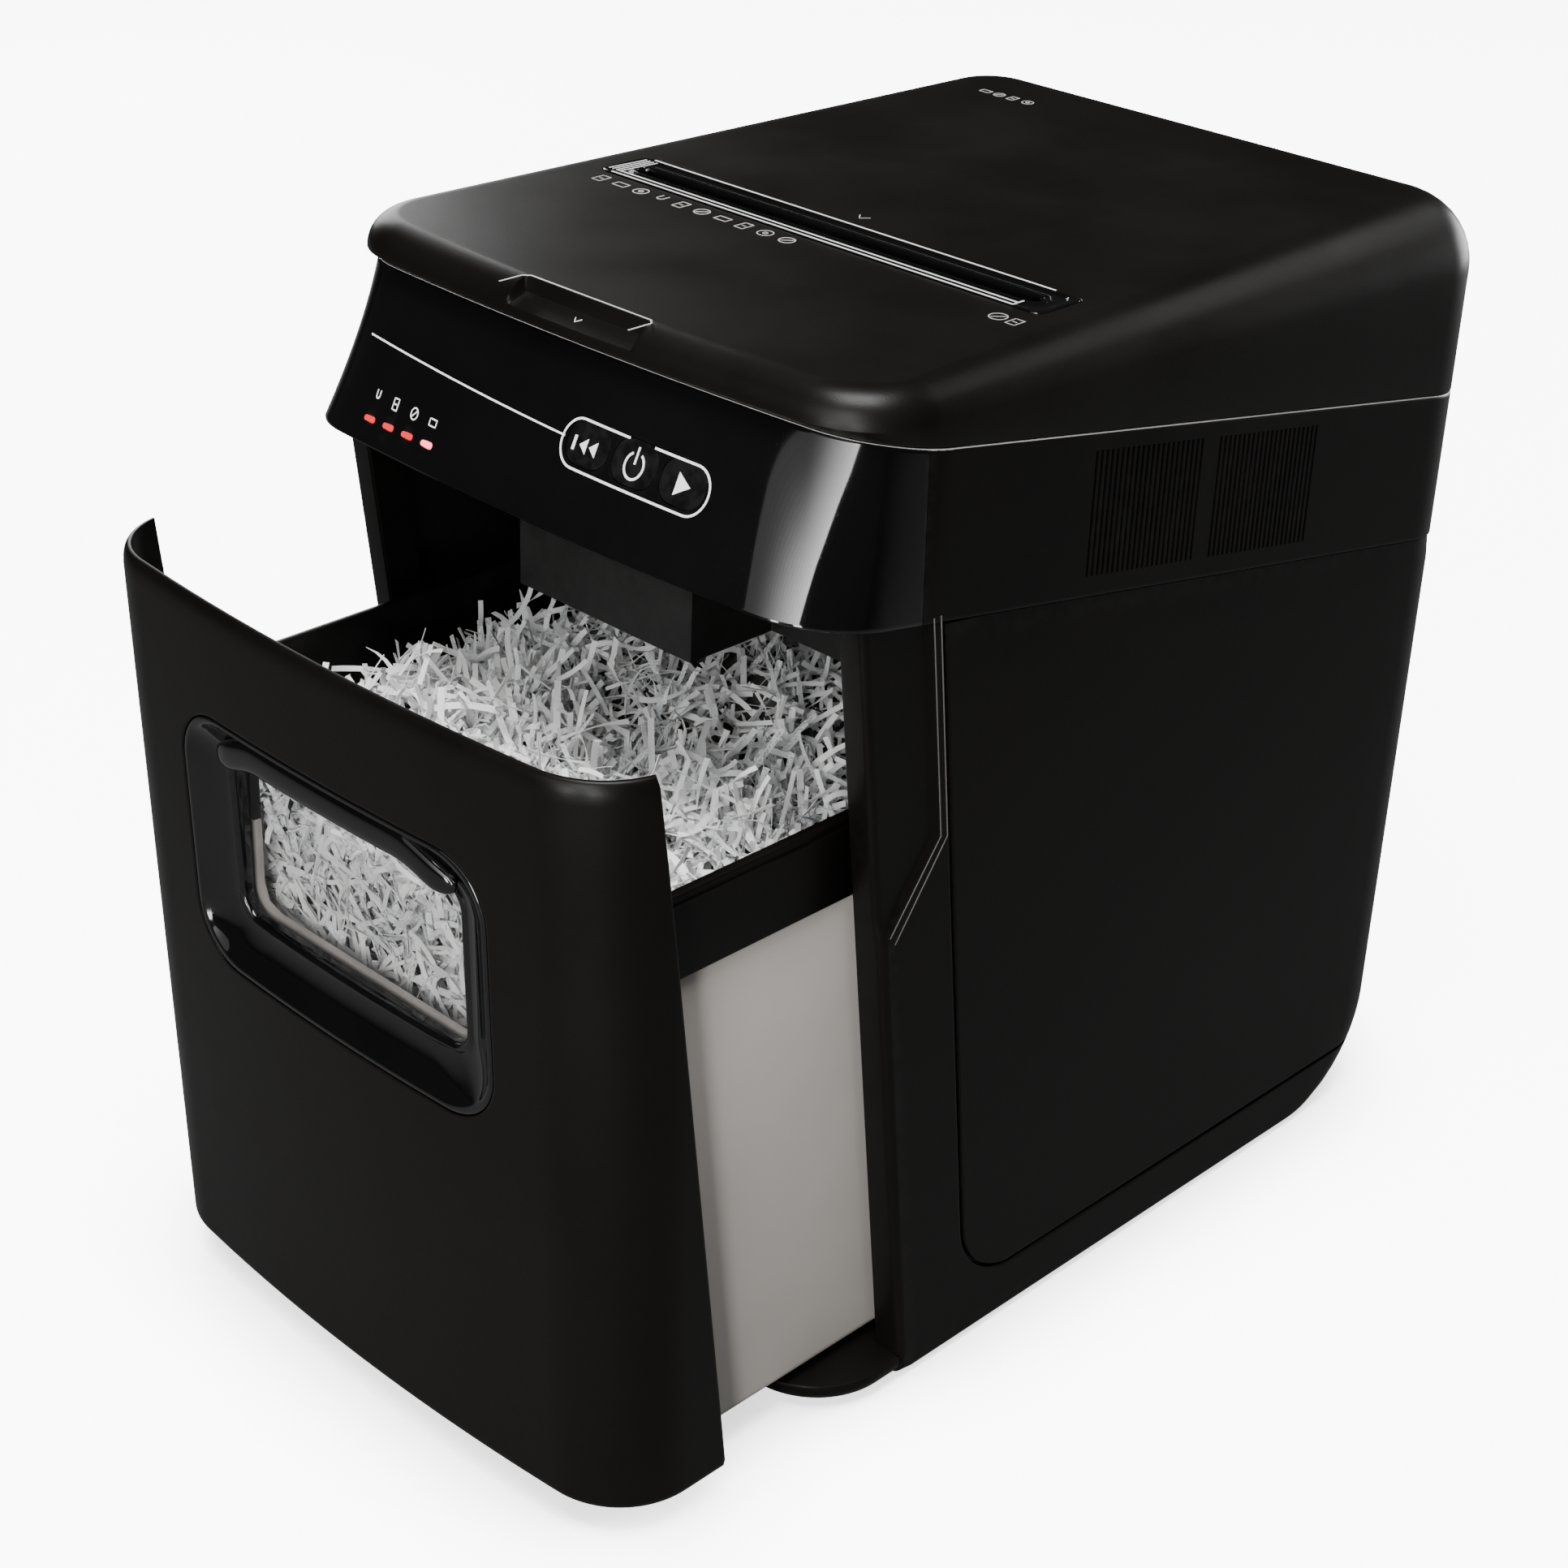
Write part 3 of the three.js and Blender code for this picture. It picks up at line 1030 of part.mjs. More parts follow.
function addBin(group) {
  const rearEdge = aheadOf(-COVER_GAP, -FAR, FAR);
  const behindWindow = BIN_TUB_FRONT_Y + 2 * BIN_TUB_RADIUS;
  const windowHole = frontPrism(bezelShape(GAP), -FAR, behindWindow);
  const cover = cut(coverBlock(0), coverBlock(COVER_WALL, OVERSHOOT), windowHole).intersect(rearEdge);
  piece(group, 'bin_front', cover, satinBlack);

  const bezelBack = BIN_TUB_FRONT_Y - BIN_RIM_FLARE - BEZEL_BACK_GAP;
  const bezelFront = coverFront((BEZEL_TOP_Z + BEZEL_BOTTOM_Z) / 2);
  const paneY = bezelBack - PANE_THICKNESS - 2 * GAP;
  const blank = frontPrism(bezelShape(0), -FAR, bezelBack).intersect(coverBlock(0));
  const through = frontPrism(paneShape(0), paneY - 1, 0);
  const rebate = frontPrism(paneShape(PANE_LAP + GAP), paneY, 0);
  const pocket = box(-GRIP_WIDTH / 2, GRIP_WIDTH / 2, bezelFront + GRIP_LIP, paneY - 2,
    PANE_OPENING_TOP_Z - 8, PANE_OPENING_TOP_Z + GRIP_HEIGHT);
  const dish = bezelDish(bezelFront, paneY);
  const bezel = cut(blank, dish, through, rebate, pocket);
  piece(group, 'window_bezel', bezel, glossBlack);
  const pane = frontPrism(paneShape(PANE_LAP), paneY + GAP, paneY + GAP + PANE_THICKNESS);
  piece(group, 'window_pane', pane, clearPlastic);

  const tubCentreY = BIN_TUB_FRONT_Y + BIN_TUB_LENGTH / 2;
  const tubWall = (grow, z0, z1) => {
    const shape = roundedRect(BIN_TUB_WIDTH + 2 * grow, BIN_TUB_LENGTH + 2 * grow, BIN_TUB_RADIUS + grow);
    const options = { depth: z1 - z0, bevelEnabled: false, curveSegments: 4 };
    const geometry = new THREE.ExtrudeGeometry(shape, options);
    geometry.translate(0, tubCentreY, z0);
    return toSolid(geometry);
  };
  const view = frontPrism(paneShape(-2), -FAR, behindWindow);
  const hollow = tubWall(-BIN_TUB_WALL, BIN_TUB_BOTTOM_Z + BIN_TUB_WALL, FAR);
  const tub = cut(tubWall(0, BIN_TUB_BOTTOM_Z, BIN_TUB_TOP_Z), hollow, view);
  piece(group, 'bin_tub', tub, binGrey);
  const rim = cut(tubWall(BIN_RIM_FLARE, BIN_TUB_TOP_Z + GAP, BIN_RIM_TOP_Z), hollow, view);
  piece(group, 'bin_rim', rim, satinBlack);
}

// ---------------------------------------------------------------- assembly

function buildShredder() {
  const machine = new THREE.Group();
  addBase(machine);
  addCabinet(machine);
  addHead(machine);
  addHousing(machine);
  addDeck(machine);
  addCuttingBlock(machine);
  addRearFittings(machine);
  addLid(machine);
  addHinge(machine);

  const bin = new THREE.Group();
  addBin(bin);
  bin.position.y = -BIN_PULL_OUT;
  machine.add(bin);

  // The part's origin is at the floor, midway between the bin's front and the hinge's back.
  const frontmost = COVER_TOP_FRONT_Y - BIN_PULL_OUT;
  const backmost = HINGE_Y + HINGE_KNUCKLE_RADIUS;
  machine.position.y = -(frontmost + backmost) / 2;
  const shredder = new THREE.Group();
  shredder.add(machine);
  return shredder;
}

export default buildShredder();
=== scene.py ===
import json
import math

import bmesh
import bpy
import numpy as np
from mathutils import Matrix, Vector


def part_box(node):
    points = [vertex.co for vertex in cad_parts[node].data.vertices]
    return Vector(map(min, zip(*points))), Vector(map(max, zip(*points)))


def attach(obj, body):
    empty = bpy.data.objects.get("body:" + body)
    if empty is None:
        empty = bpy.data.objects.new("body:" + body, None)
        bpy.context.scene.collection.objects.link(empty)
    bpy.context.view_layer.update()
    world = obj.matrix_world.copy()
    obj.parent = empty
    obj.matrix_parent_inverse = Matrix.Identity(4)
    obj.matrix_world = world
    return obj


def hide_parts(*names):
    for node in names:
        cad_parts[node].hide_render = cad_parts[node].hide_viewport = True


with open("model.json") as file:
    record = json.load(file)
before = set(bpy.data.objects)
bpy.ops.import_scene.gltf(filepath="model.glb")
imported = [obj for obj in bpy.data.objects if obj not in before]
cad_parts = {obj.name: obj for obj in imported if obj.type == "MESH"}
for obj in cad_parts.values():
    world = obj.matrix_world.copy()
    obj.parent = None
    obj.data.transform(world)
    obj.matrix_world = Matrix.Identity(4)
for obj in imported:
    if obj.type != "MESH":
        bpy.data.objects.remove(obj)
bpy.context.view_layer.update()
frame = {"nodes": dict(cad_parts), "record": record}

# ---------------------------------------------------------------- sizes, millimetres

MM = 0.001
HALF_WIDTH = 165.0
TOP_Z = 490.0
BACK_Y = 230.0
BOW_RADIUS = 1300.0
FRONT_CORNER = 42.0
BACK_CORNER = 44.0
WALL = 3.0
SEAM_GAP = 0.15
SEAM_FALL = 0.183
PANEL_TOP_Y = -214.5
PANEL_BOTTOM_Y = -248.0
PANEL_END_Y = -178.0
LID_FRONT_Y = -220.5
SLOT_Y = -66.0
FOOT_Z = 3.0
BASE_TOP_Z = 13.0
BACK_FOOT_RADIUS = 52.0
BIN_PULL_OUT = 110.0
COVER_LOW_Z = 15.0
COVER_HIGH_Z = 372.0
BEZEL_CENTRE_Z = 255.0

# The machine's own y = 0 in the frame, and the bin's with the bin at rest.
MACHINE_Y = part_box("rear_panel")[1].y / MM - BACK_Y
BIN_Y = MACHINE_Y - BIN_PULL_OUT

rng = np.random.default_rng(7)


def upper_seam(y):
    return 433.0 - SEAM_FALL * y


def lower_seam(y):
    return 358.0 - SEAM_FALL * y


def pillar_front(z):
    return -160.5 - 0.127 * z


def cover_front(z):
    return -236.0 - 12.0 * (z - COVER_LOW_Z) / (COVER_HIGH_Z - COVER_LOW_Z)


def blend(a, b, share):
    return a + (b - a) * share


def smooth(low, high, value):
    """0 below low, 1 above high, and the cubic 3s^2 - 2s^3 between them."""
    share = np.clip((value - low) / (high - low), 0.0, 1.0)
    return share * share * (3.0 - 2.0 * share)


def roll(distance, radius, depth=None):
    """How far a rounded edge drops at a distance from it: a quarter ellipse,
    depth * (1 - sqrt(1 - (1 - distance / radius)^2)), and nothing past the radius."""
    depth = radius if depth is None else depth
    share = np.clip(1.0 - distance / radius, 0.0, 1.0)
    return depth * (1.0 - np.sqrt(1.0 - share * share))


# ---------------------------------------------------------------- meshes

def quads(rows, cols, wrap_rows=False, wrap_cols=False):
    """Corner numbers of every cell of a rows x cols grid of points."""
    r = np.arange(rows if wrap_rows else rows - 1)
    c = np.arange(cols if wrap_cols else cols - 1)
    r, c = np.meshgrid(r, c, indexing="ij")
    r1 = (r + 1) % rows
    c1 = (c + 1) % cols
    return np.stack([r * cols + c, r1 * cols + c, r1 * cols + c1, r * cols + c1], -1)


def walls(faces, offset):
    """Quads that join the free edges of a sheet to those of its copy, offset points on."""
    edges = np.concatenate([faces[:, [k, (k + 1) % 4]] for k in range(4)])
    size = faces.max() + 1
    there = edges[:, 0] * size + edges[:, 1]
    back = edges[:, 1] * size + edges[:, 0]
    free = edges[~np.isin(there, back)]
    a, b = free[:, 0], free[:, 1]
    return np.stack([b, a, a + offset, b + offset], -1)


def sheet_parts(outer, inner, wrap_rows=False, mask=None):
    """A closed plate between two grids of points: both skins and the wall round their edges."""
    rows, cols = outer.shape[:2]
    cells = quads(rows, cols, wrap_rows)
    cells = cells[mask] if mask is not None else cells.reshape(-1, 4)
    count = rows * cols
    points = np.concatenate([outer.reshape(-1, 3), inner.reshape(-1, 3)])
    faces = np.concatenate([cells, cells[:, ::-1] + count, walls(cells, count)])
    return points, faces.tolist()


def ring_parts(rings):
    """A closed skin through rings of equal point count, with a flat cap on each end."""
    points = np.asarray(rings)
    levels, count = points.shape[:2]
    faces = quads(levels, count, wrap_cols=True).reshape(-1, 4).tolist()
    faces.append(list(range(count)))
    faces.append([(levels - 1) * count + i for i in reversed(range(count))])
    return points.reshape(-1, 3), faces


def loop_parts(points):
    """A closed skin through a grid that wraps both ways, like a picture frame."""
    rows, cols = points.shape[:2]
    return points.reshape(-1, 3), quads(rows, cols, True, True).reshape(-1, 4).tolist()


def join_parts(parts):
    """Several closed skins in one mesh."""
    points, faces, start = [], [], 0
    for some, their in parts:
        points.append(some)
        faces += [[i + start for i in face] for face in their]
        start += len(some)
    return np.concatenate(points), faces


def shade(mesh, sharp):
    mesh.shade_smooth()
    mesh.set_sharp_from_angle(angle=math.radians(sharp))


def outward(mesh):
    """Turns a closed mesh so that its signed volume is positive."""
    work = bmesh.new()
    work.from_mesh(mesh)
    if work.calc_volume(signed=True) < 0:
        bmesh.ops.reverse_faces(work, faces=work.faces)
        work.to_mesh(mesh)
    work.free()


def build(name, parts, place_y):
    """A mesh object from points in millimetres in the machine's own coordinates."""
    points, faces = parts
    mesh = bpy.data.meshes.new(name)
    mesh.from_pydata(((points + [0.0, place_y, 0.0]) * MM).tolist(), [], faces)
    outward(mesh)
    obj = bpy.data.objects.new(name, mesh)
    bpy.context.scene.collection.objects.link(obj)
    return obj


def piece(name, parts, finish, body, stands_for=(), place_y=None, carve=(), sharp=33):
    """A finished piece: its mesh, its cuts, its material, and what it rides on and replaces."""
    place_y = MACHINE_Y if place_y is None else place_y
    obj = build(name, parts, place_y)
    for number, cutter in enumerate(carve):
        tool = build(f"{name}_cutter_{number}", cutter, place_y)
        cut = obj.modifiers.new("carve", "BOOLEAN")
        cut.operation = "DIFFERENCE"
        cut.solver = "EXACT"
        cut.use_self = False
        cut.object = tool
        ready = obj.evaluated_get(bpy.context.evaluated_depsgraph_get())
        mesh = bpy.data.meshes.new_from_object(ready)
        obj.modifiers.clear()
        obj.data = mesh
        bpy.data.objects.remove(tool)
    obj.data.name = name
    obj.data.materials.clear()
    obj.data.materials.append(finish)
    shade(obj.data, sharp)
    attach(obj, body)
    if stands_for:
        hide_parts(*stands_for)
    return obj


# ---------------------------------------------------------------- outlines

def rounded_rect(width, height, radius, count, centre=(0.0, 0.0)):
    """Points round a rounded rectangle, evenly spaced along it, starting at the middle of
    its lower side and going anticlockwise."""
    w, h = width / 2 - radius, height / 2 - radius
    arc = radius * math.pi / 2
    length = 4 * (w + h + arc)
    s = np.arange(count) * length / count
    xs, ys = np.empty(count), np.empty(count)
    marks = np.cumsum([w, arc, 2 * h, arc, 2 * w, arc, 2 * h, arc, w])
    part = np.searchsorted(marks, s, side="right")
    start = s - np.concatenate([[0], marks])[part]
    sides = {
        0: (start, -h - radius + 0 * s), 2: (w + radius + 0 * s, -h + start),
        4: (w - start, h + radius + 0 * s), 6: (-w - radius + 0 * s, h - start),
        8: (-w + start, -h - radius + 0 * s),
    }
    for k, (x, y) in sides.items():
        xs[part == k], ys[part == k] = x[part == k], y[part == k]
    corners = {1: (w, -h, -90), 3: (w, h, 0), 5: (-w, h, 90), 7: (-w, -h, 180)}
    for k, (cx, cy, angle) in corners.items():
        turn = np.radians(angle) + start[part == k] / radius
        xs[part == k] = cx + radius * np.cos(turn)
        ys[part == k] = cy + radius * np.sin(turn)
    return np.stack([xs + centre[0], ys + centre[1]], -1)


def half_plan(front, stop=None, back=BACK_Y, corner=FRONT_CORNER, bow_x=None, steps=(30, 18, 16, 16, 16)):
    """The right half of the body from above, as rows of x, y and outward normal: the bow
    (a circle of BOW_RADIUS), the front corner circle, the straight side, the back corner
    circle and the flat back. With stop, the side ends at that y and nothing follows."""
    bow, front_arc, side, back_arc, rear = steps
    corner_x = HALF_WIDTH - corner
    reach = BOW_RADIUS - corner
    corner_y = front + BOW_RADIUS - math.sqrt(reach ** 2 - corner_x ** 2)
    turn = math.asin(corner_x / reach)
    xs = np.linspace(0.0, BOW_RADIUS * math.sin(turn), bow) if bow_x is None else bow_x
    nx = xs / BOW_RADIUS
    ny = -np.sqrt(1.0 - nx ** 2)
    rows = [np.stack([xs, front + BOW_RADIUS + BOW_RADIUS * ny, nx, ny], -1)]
    angle = np.linspace(turn - math.pi / 2, 0.0, front_arc + 1)[1:]
    rows.append(arc_rows(corner_x, corner_y, corner, angle))
    end = (back - BACK_CORNER) if stop is None else stop
    ys = np.linspace(corner_y, end, side + 1)[1:]
    flat = np.ones_like(ys)
    rows.append(np.stack([HALF_WIDTH * flat, ys, flat, 0 * flat], -1))
    if stop is None:
        angle = np.linspace(0.0, math.pi / 2, back_arc + 1)[1:]
        rows.append(arc_rows(HALF_WIDTH - BACK_CORNER, back - BACK_CORNER, BACK_CORNER, angle))
        xs = np.linspace(HALF_WIDTH - BACK_CORNER, 0.0, rear + 1)[1:]
        flat = np.ones_like(xs)
        rows.append(np.stack([xs, back * flat, 0 * flat, flat], -1))
    return np.concatenate(rows)


def arc_rows(x, y, radius, angle):
    cos, sin = np.cos(angle), np.sin(angle)
    return np.stack([x + radius * cos, y + radius * sin, cos, sin], -1)


def both_sides(half):
    """Mirrors a half outline that starts on the middle line and joins the two halves."""
    left = half[:0:-1] * [-1.0, 1.0, -1.0, 1.0]
    return np.concatenate([left, half])


def whole_plan(front, **options):
    """The closed outline, starting at the middle of the front and going round by the right."""
    half = half_plan(front, **options)
    left = half[-2:0:-1] * [-1.0, 1.0, -1.0, 1.0]
    return np.concatenate([half, left])


def moved_in(plan, inset):
    return plan[:, :2] - plan[:, 2:] * np.asarray(inset)[..., None]


def at_height(flat, height):
    return np.concatenate([flat, np.broadcast_to(height, len(flat))[:, None]], 1)


# ---------------------------------------------------------------- shader groups

def new_group(name, inputs, outputs):
    group = bpy.data.node_groups.new(name, "ShaderNodeTree")
    for label, kind, value in inputs:
        socket = group.interface.new_socket(label, in_out="INPUT", socket_type=kind)
        socket.default_value = value
    for label, kind in outputs:
        group.interface.new_socket(label, in_out="OUTPUT", socket_type=kind)
    return group, group.nodes.new("NodeGroupInput"), group.nodes.new("NodeGroupOutput")


def node(tree, kind, links=(), **settings):
    """A node with its settings, numbered or named input values, and links into it."""
    made = tree.nodes.new(kind)
    for key, value in settings.items():
        if key.startswith("in_"):
            name = key[3:].replace("_", " ")
            socket = made.inputs[int(name)] if name.isdigit() else made.inputs[name]
            socket.default_value = value
        else:
            setattr(made, key, value)
    for target, source in links:
        tree.links.new(source, made.inputs[target])
    return made


def maths(tree, operation, *values, clamp=False):
    made = tree.nodes.new("ShaderNodeMath")
    made.operation = operation
    made.use_clamp = clamp
    for number, value in enumerate(values):
        if isinstance(value, (int, float)):
            made.inputs[number].default_value = value
        else:
            tree.links.new(value, made.inputs[number])
    return made.outputs[0]


def ramp(tree, value, low, high, to_low=0.0, to_high=1.0):
    made = node(tree, "ShaderNodeMapRange", interpolation_type="SMOOTHSTEP",
                in_1=low, in_2=high, in_3=to_low, in_4=to_high)
    tree.links.new(value, made.inputs[0])
    return made.outputs[0]


def mix_colour(tree, share, a, b):
    made = tree.nodes.new("ShaderNodeMix")
    made.data_type = "RGBA"
    for socket, value in ((made.inputs[0], share), (made.inputs[6], a), (made.inputs[7], b)):
        if isinstance(value, (int, float)):
            socket.default_value = value
        elif isinstance(value, tuple):
            socket.default_value = (*value, 1.0)
        else:
            tree.links.new(value, socket)
    return made.outputs[2]


def make_grain_group():
    """Moulded grain: fine leathery pits over a slow unevenness."""
    group, given, out = new_group(
        "moulded_grain", [("Scale", "NodeSocketFloat", 900.0), ("Coarse", "NodeSocketFloat", 14.0)],
        [("Height", "NodeSocketFloat"), ("Patch", "NodeSocketFloat")])
    place = group.nodes.new("ShaderNodeTexCoord").outputs["Object"]
    fine = node(group, "ShaderNodeTexNoise",
                [("Vector", place), ("Scale", given.outputs["Scale"])], in_Detail=3.0)
    pits = node(group, "ShaderNodeTexVoronoi", [("Vector", place), ("Scale", given.outputs["Scale"])])
    slow = node(group, "ShaderNodeTexNoise",
                [("Vector", place), ("Scale", given.outputs["Coarse"])], in_Detail=4.0)
    height = maths(group, "MULTIPLY_ADD", pits.outputs["Distance"], 0.45, fine.outputs[0])
    group.links.new(height, out.inputs["Height"])
    group.links.new(slow.outputs[0], out.inputs["Patch"])
    return group


def make_dust_group():
    """Dust: a soft mask that is strongest on faces that look up."""
    group, given, out = new_group(
        "settled_dust", [("Amount", "NodeSocketFloat", 0.3)], [("Mask", "NodeSocketFloat")])
    place = group.nodes.new("ShaderNodeTexCoord").outputs["Object"]
    surface = group.nodes.new("ShaderNodeNewGeometry")
    facing = node(group, "ShaderNodeSeparateXYZ", [(0, surface.outputs["Normal"])])
    up = ramp(group, facing.outputs["Z"], 0.55, 1.0)
    cloud = node(group, "ShaderNodeTexNoise", [("Vector", place)], in_Scale=9.0, in_Detail=5.0)
    specks = node(group, "ShaderNodeTexNoise", [("Vector", place)], in_Scale=1400.0, in_Detail=1.0)
    soft = ramp(group, cloud.outputs[0], 0.4, 0.75)
    speck = ramp(group, specks.outputs[0], 0.6, 0.72)
    both = maths(group, "MULTIPLY_ADD", speck, 0.6, soft)
    mask = maths(group, "MULTIPLY", maths(group, "MULTIPLY", both, up), given.outputs["Amount"], clamp=True)
    group.links.new(mask, out.inputs["Mask"])
    return group


def make_wear_group():
    """Edge wear: where the surface is convex, broken up by noise."""
    group, given, out = new_group(
        "edge_wear", [("Amount", "NodeSocketFloat", 0.5)], [("Mask", "NodeSocketFloat")])
    place = group.nodes.new("ShaderNodeTexCoord").outputs["Object"]
    point = group.nodes.new("ShaderNodeNewGeometry").outputs["Pointiness"]
    edge = ramp(group, point, 0.52, 0.6)
    broken = node(group, "ShaderNodeTexNoise", [("Vector", place)], in_Scale=160.0, in_Detail=4.0)
    mask = maths(group, "MULTIPLY", edge, ramp(group, broken.outputs[0], 0.35, 0.65))
    group.links.new(maths(group, "MULTIPLY", mask, given.outputs["Amount"], clamp=True), out.inputs["Mask"])
    return group


def make_scratch_group():
    """Hair scratches: two stretched noises crossed, thresholded to thin lines."""
    group, given, out = new_group(
        "hair_scratches", [("Density", "NodeSocketFloat", 0.5)], [("Mask", "NodeSocketFloat")])
    place = group.nodes.new("ShaderNodeTexCoord").outputs["Object"]
    lines = []
    for scale, turn in (((30.0, 900.0, 900.0), 0.5), ((900.0, 40.0, 700.0), 0.9)):
        turned = node(group, "ShaderNodeMapping", [("Vector", place)], in_Rotation=(turn, 0.3, turn))
        stretched = node(group, "ShaderNodeMapping", [("Vector", turned.outputs[0])], in_Scale=scale)
        noise = node(group, "ShaderNodeTexNoise", [("Vector", stretched.outputs[0])],
                     in_Scale=1.0, in_Detail=2.0)
        lines.append(ramp(group, noise.outputs[0], 0.66, 0.72))
    both = maths(group, "ADD", *lines, clamp=True)
    group.links.new(maths(group, "MULTIPLY", both, given.outputs["Density"]), out.inputs["Mask"])
    return group


GRAIN = make_grain_group()
DUST = make_dust_group()
WEAR = make_wear_group()
SCRATCHES = make_scratch_group()


def placed(tree, group, **values):
    made = tree.nodes.new("ShaderNodeGroup")
    made.node_tree = group
    for key, value in values.items():
        made.inputs[key].default_value = value
    return made


# ---------------------------------------------------------------- finishes

def new_material(name, **shader_values):
    material = bpy.data.materials.new(name)
    material.use_nodes = True
    tree = material.node_tree
    shader = tree.nodes["Principled BSDF"]
    for key, value in shader_values.items():
        shader.inputs[key.replace("_", " ")].default_value = value
    return material, tree, shader


def moulded(name, colour, patch_colour, roughness, grain=900.0, bump=0.12, dust=0.1, wear=0.25,
            swing=0.1, scratches=0.0, **shader_values):
    """Moulded plastic: grain in the bump, slow patches in colour and roughness, a little
    dust on top faces, paler worn edges, and hair scratches where asked."""
    material, tree, shader = new_material(name, **shader_values)
    texture = placed(tree, GRAIN, Scale=grain)
    dusty = placed(tree, DUST, Amount=dust)
    worn = placed(tree, WEAR, Amount=wear)
    base = mix_colour(tree, ramp(tree, texture.outputs["Patch"], 0.3, 0.7), colour, patch_colour)
    pale = tuple(min(1.0, 0.12 + 1.6 * c) for c in colour)
    base = mix_colour(tree, worn.outputs[0], base, pale)
    base = mix_colour(tree, dusty.outputs[0], base, (0.2, 0.19, 0.18))
    tree.links.new(base, shader.inputs["Base Color"])
    rough = ramp(tree, texture.outputs["Patch"], 0.3, 0.7, roughness - swing / 2, roughness + swing / 2)
    rough = maths(tree, "MULTIPLY_ADD", dusty.outputs[0], 0.5, rough)
    if scratches:
        lines = placed(tree, SCRATCHES, Density=scratches)
        rough = maths(tree, "MULTIPLY_ADD", lines.outputs[0], 0.35, rough)
    tree.links.new(rough, shader.inputs["Roughness"])
    if bump:
        relief = node(tree, "ShaderNodeBump", [("Height", texture.outputs["Height"])],
                      in_Strength=bump, in_Distance=0.0004)
        tree.links.new(relief.outputs[0], shader.inputs["Normal"])
    return material


def painted(name, colour, patch_colour, roughness, grain=1500.0, bump=0.0):
    """Moulded, with no dust and no worn edges: ink, pale lines that are painted highlights, and paper
    coloured as painted shade.
    """
    return moulded(name, colour, patch_colour, roughness, grain=grain, bump=bump, dust=0.0, wear=0.0)


def metal(name, colour, roughness, stretch=(900.0, 40.0, 900.0), oil=0.0):
    """Drawn or ground metal: noise stretched along one way, and darker oily patches."""
    material, tree, shader = new_material(name, Metallic=1.0)
    place = tree.nodes.new("ShaderNodeTexCoord").outputs["Object"]
    stretched = node(tree, "ShaderNodeMapping", [("Vector", place)], in_Scale=stretch)
    lines = node(tree, "ShaderNodeTexNoise", [("Vector", stretched.outputs[0])], in_Scale=1.0, in_Detail=4.0)
    cloud = node(tree, "ShaderNodeTexNoise", [("Vector", place)], in_Scale=30.0, in_Detail=4.0)
    dark = tuple(c * 0.45 for c in colour)
    patch = ramp(tree, cloud.outputs[0], 0.45, 0.7, 0.0, 0.25 + oil)
    tree.links.new(mix_colour(tree, patch, colour, dark), shader.inputs["Base Color"])
    rough = ramp(tree, lines.outputs[0], 0.3, 0.7, roughness - 0.08, roughness + 0.12)
    tree.links.new(rough, shader.inputs["Roughness"])
    relief = node(tree, "ShaderNodeBump", [("Height", lines.outputs[0])],
                  in_Strength=0.15, in_Distance=0.0002)
    tree.links.new(relief.outputs[0], shader.inputs["Normal"])
    return material


def paper_finish():
    """Shredded office paper: white, a little blue or warm from strip to strip, with broken
    rows of grey print on some of it."""
    material, tree, shader = new_material("shredded_paper", Roughness=0.85, Specular_IOR_Level=0.2)
    tone = node(tree, "ShaderNodeAttribute", attribute_name="tone")
    across = node(tree, "ShaderNodeAttribute", attribute_name="along")
    place = tree.nodes.new("ShaderNodeTexCoord").outputs["Object"]
    fibre = node(tree, "ShaderNodeTexNoise", [("Vector", place)], in_Scale=1500.0, in_Detail=2.0)
    base = mix_colour(tree, tone.outputs["Fac"], (0.98, 0.975, 0.96), (0.8, 0.81, 0.82))
    base = mix_colour(tree, ramp(tree, fibre.outputs[0], 0.45, 0.8, 0.0, 0.15), base, (0.7, 0.7, 0.68))
    letters = node(tree, "ShaderNodeTexNoise", [("Vector", across.outputs["Vector"])],
                   in_Scale=900.0, in_Detail=1.0)
    printed = maths(tree, "MULTIPLY", ramp(tree, letters.outputs[0], 0.52, 0.6),
                    ramp(tree, tone.outputs["Fac"], 0.7, 0.8, 0.0, 0.5))
    tree.links.new(mix_colour(tree, printed, base, (0.12, 0.12, 0.13)), shader.inputs["Base Color"])
    relief = node(tree, "ShaderNodeBump", [("Height", fibre.outputs[0])], in_Strength=0.2, in_Distance=0.0002)
    tree.links.new(relief.outputs[0], shader.inputs["Normal"])
    return material


def lamp_finish():
    """Red light pipe: the lens at the right of the row is lit the brightest."""
    material, tree, shader = new_material("lamp_red", Roughness=0.25, Emission_Strength=2.6)
    place = node(tree, "ShaderNodeSeparateXYZ", [(0, tree.nodes.new("ShaderNodeTexCoord").outputs["Object"])])
    lit = ramp(tree, place.outputs["X"], -0.076, -0.07)
    tree.links.new(mix_colour(tree, lit, (0.35, 0.02, 0.02), (0.9, 0.1, 0.1)), shader.inputs["Base Color"])
    glow = mix_colour(tree, lit, (0.3, 0.008, 0.012), (1.0, 0.16, 0.26))
    tree.links.new(glow, shader.inputs["Emission Color"])
    return material


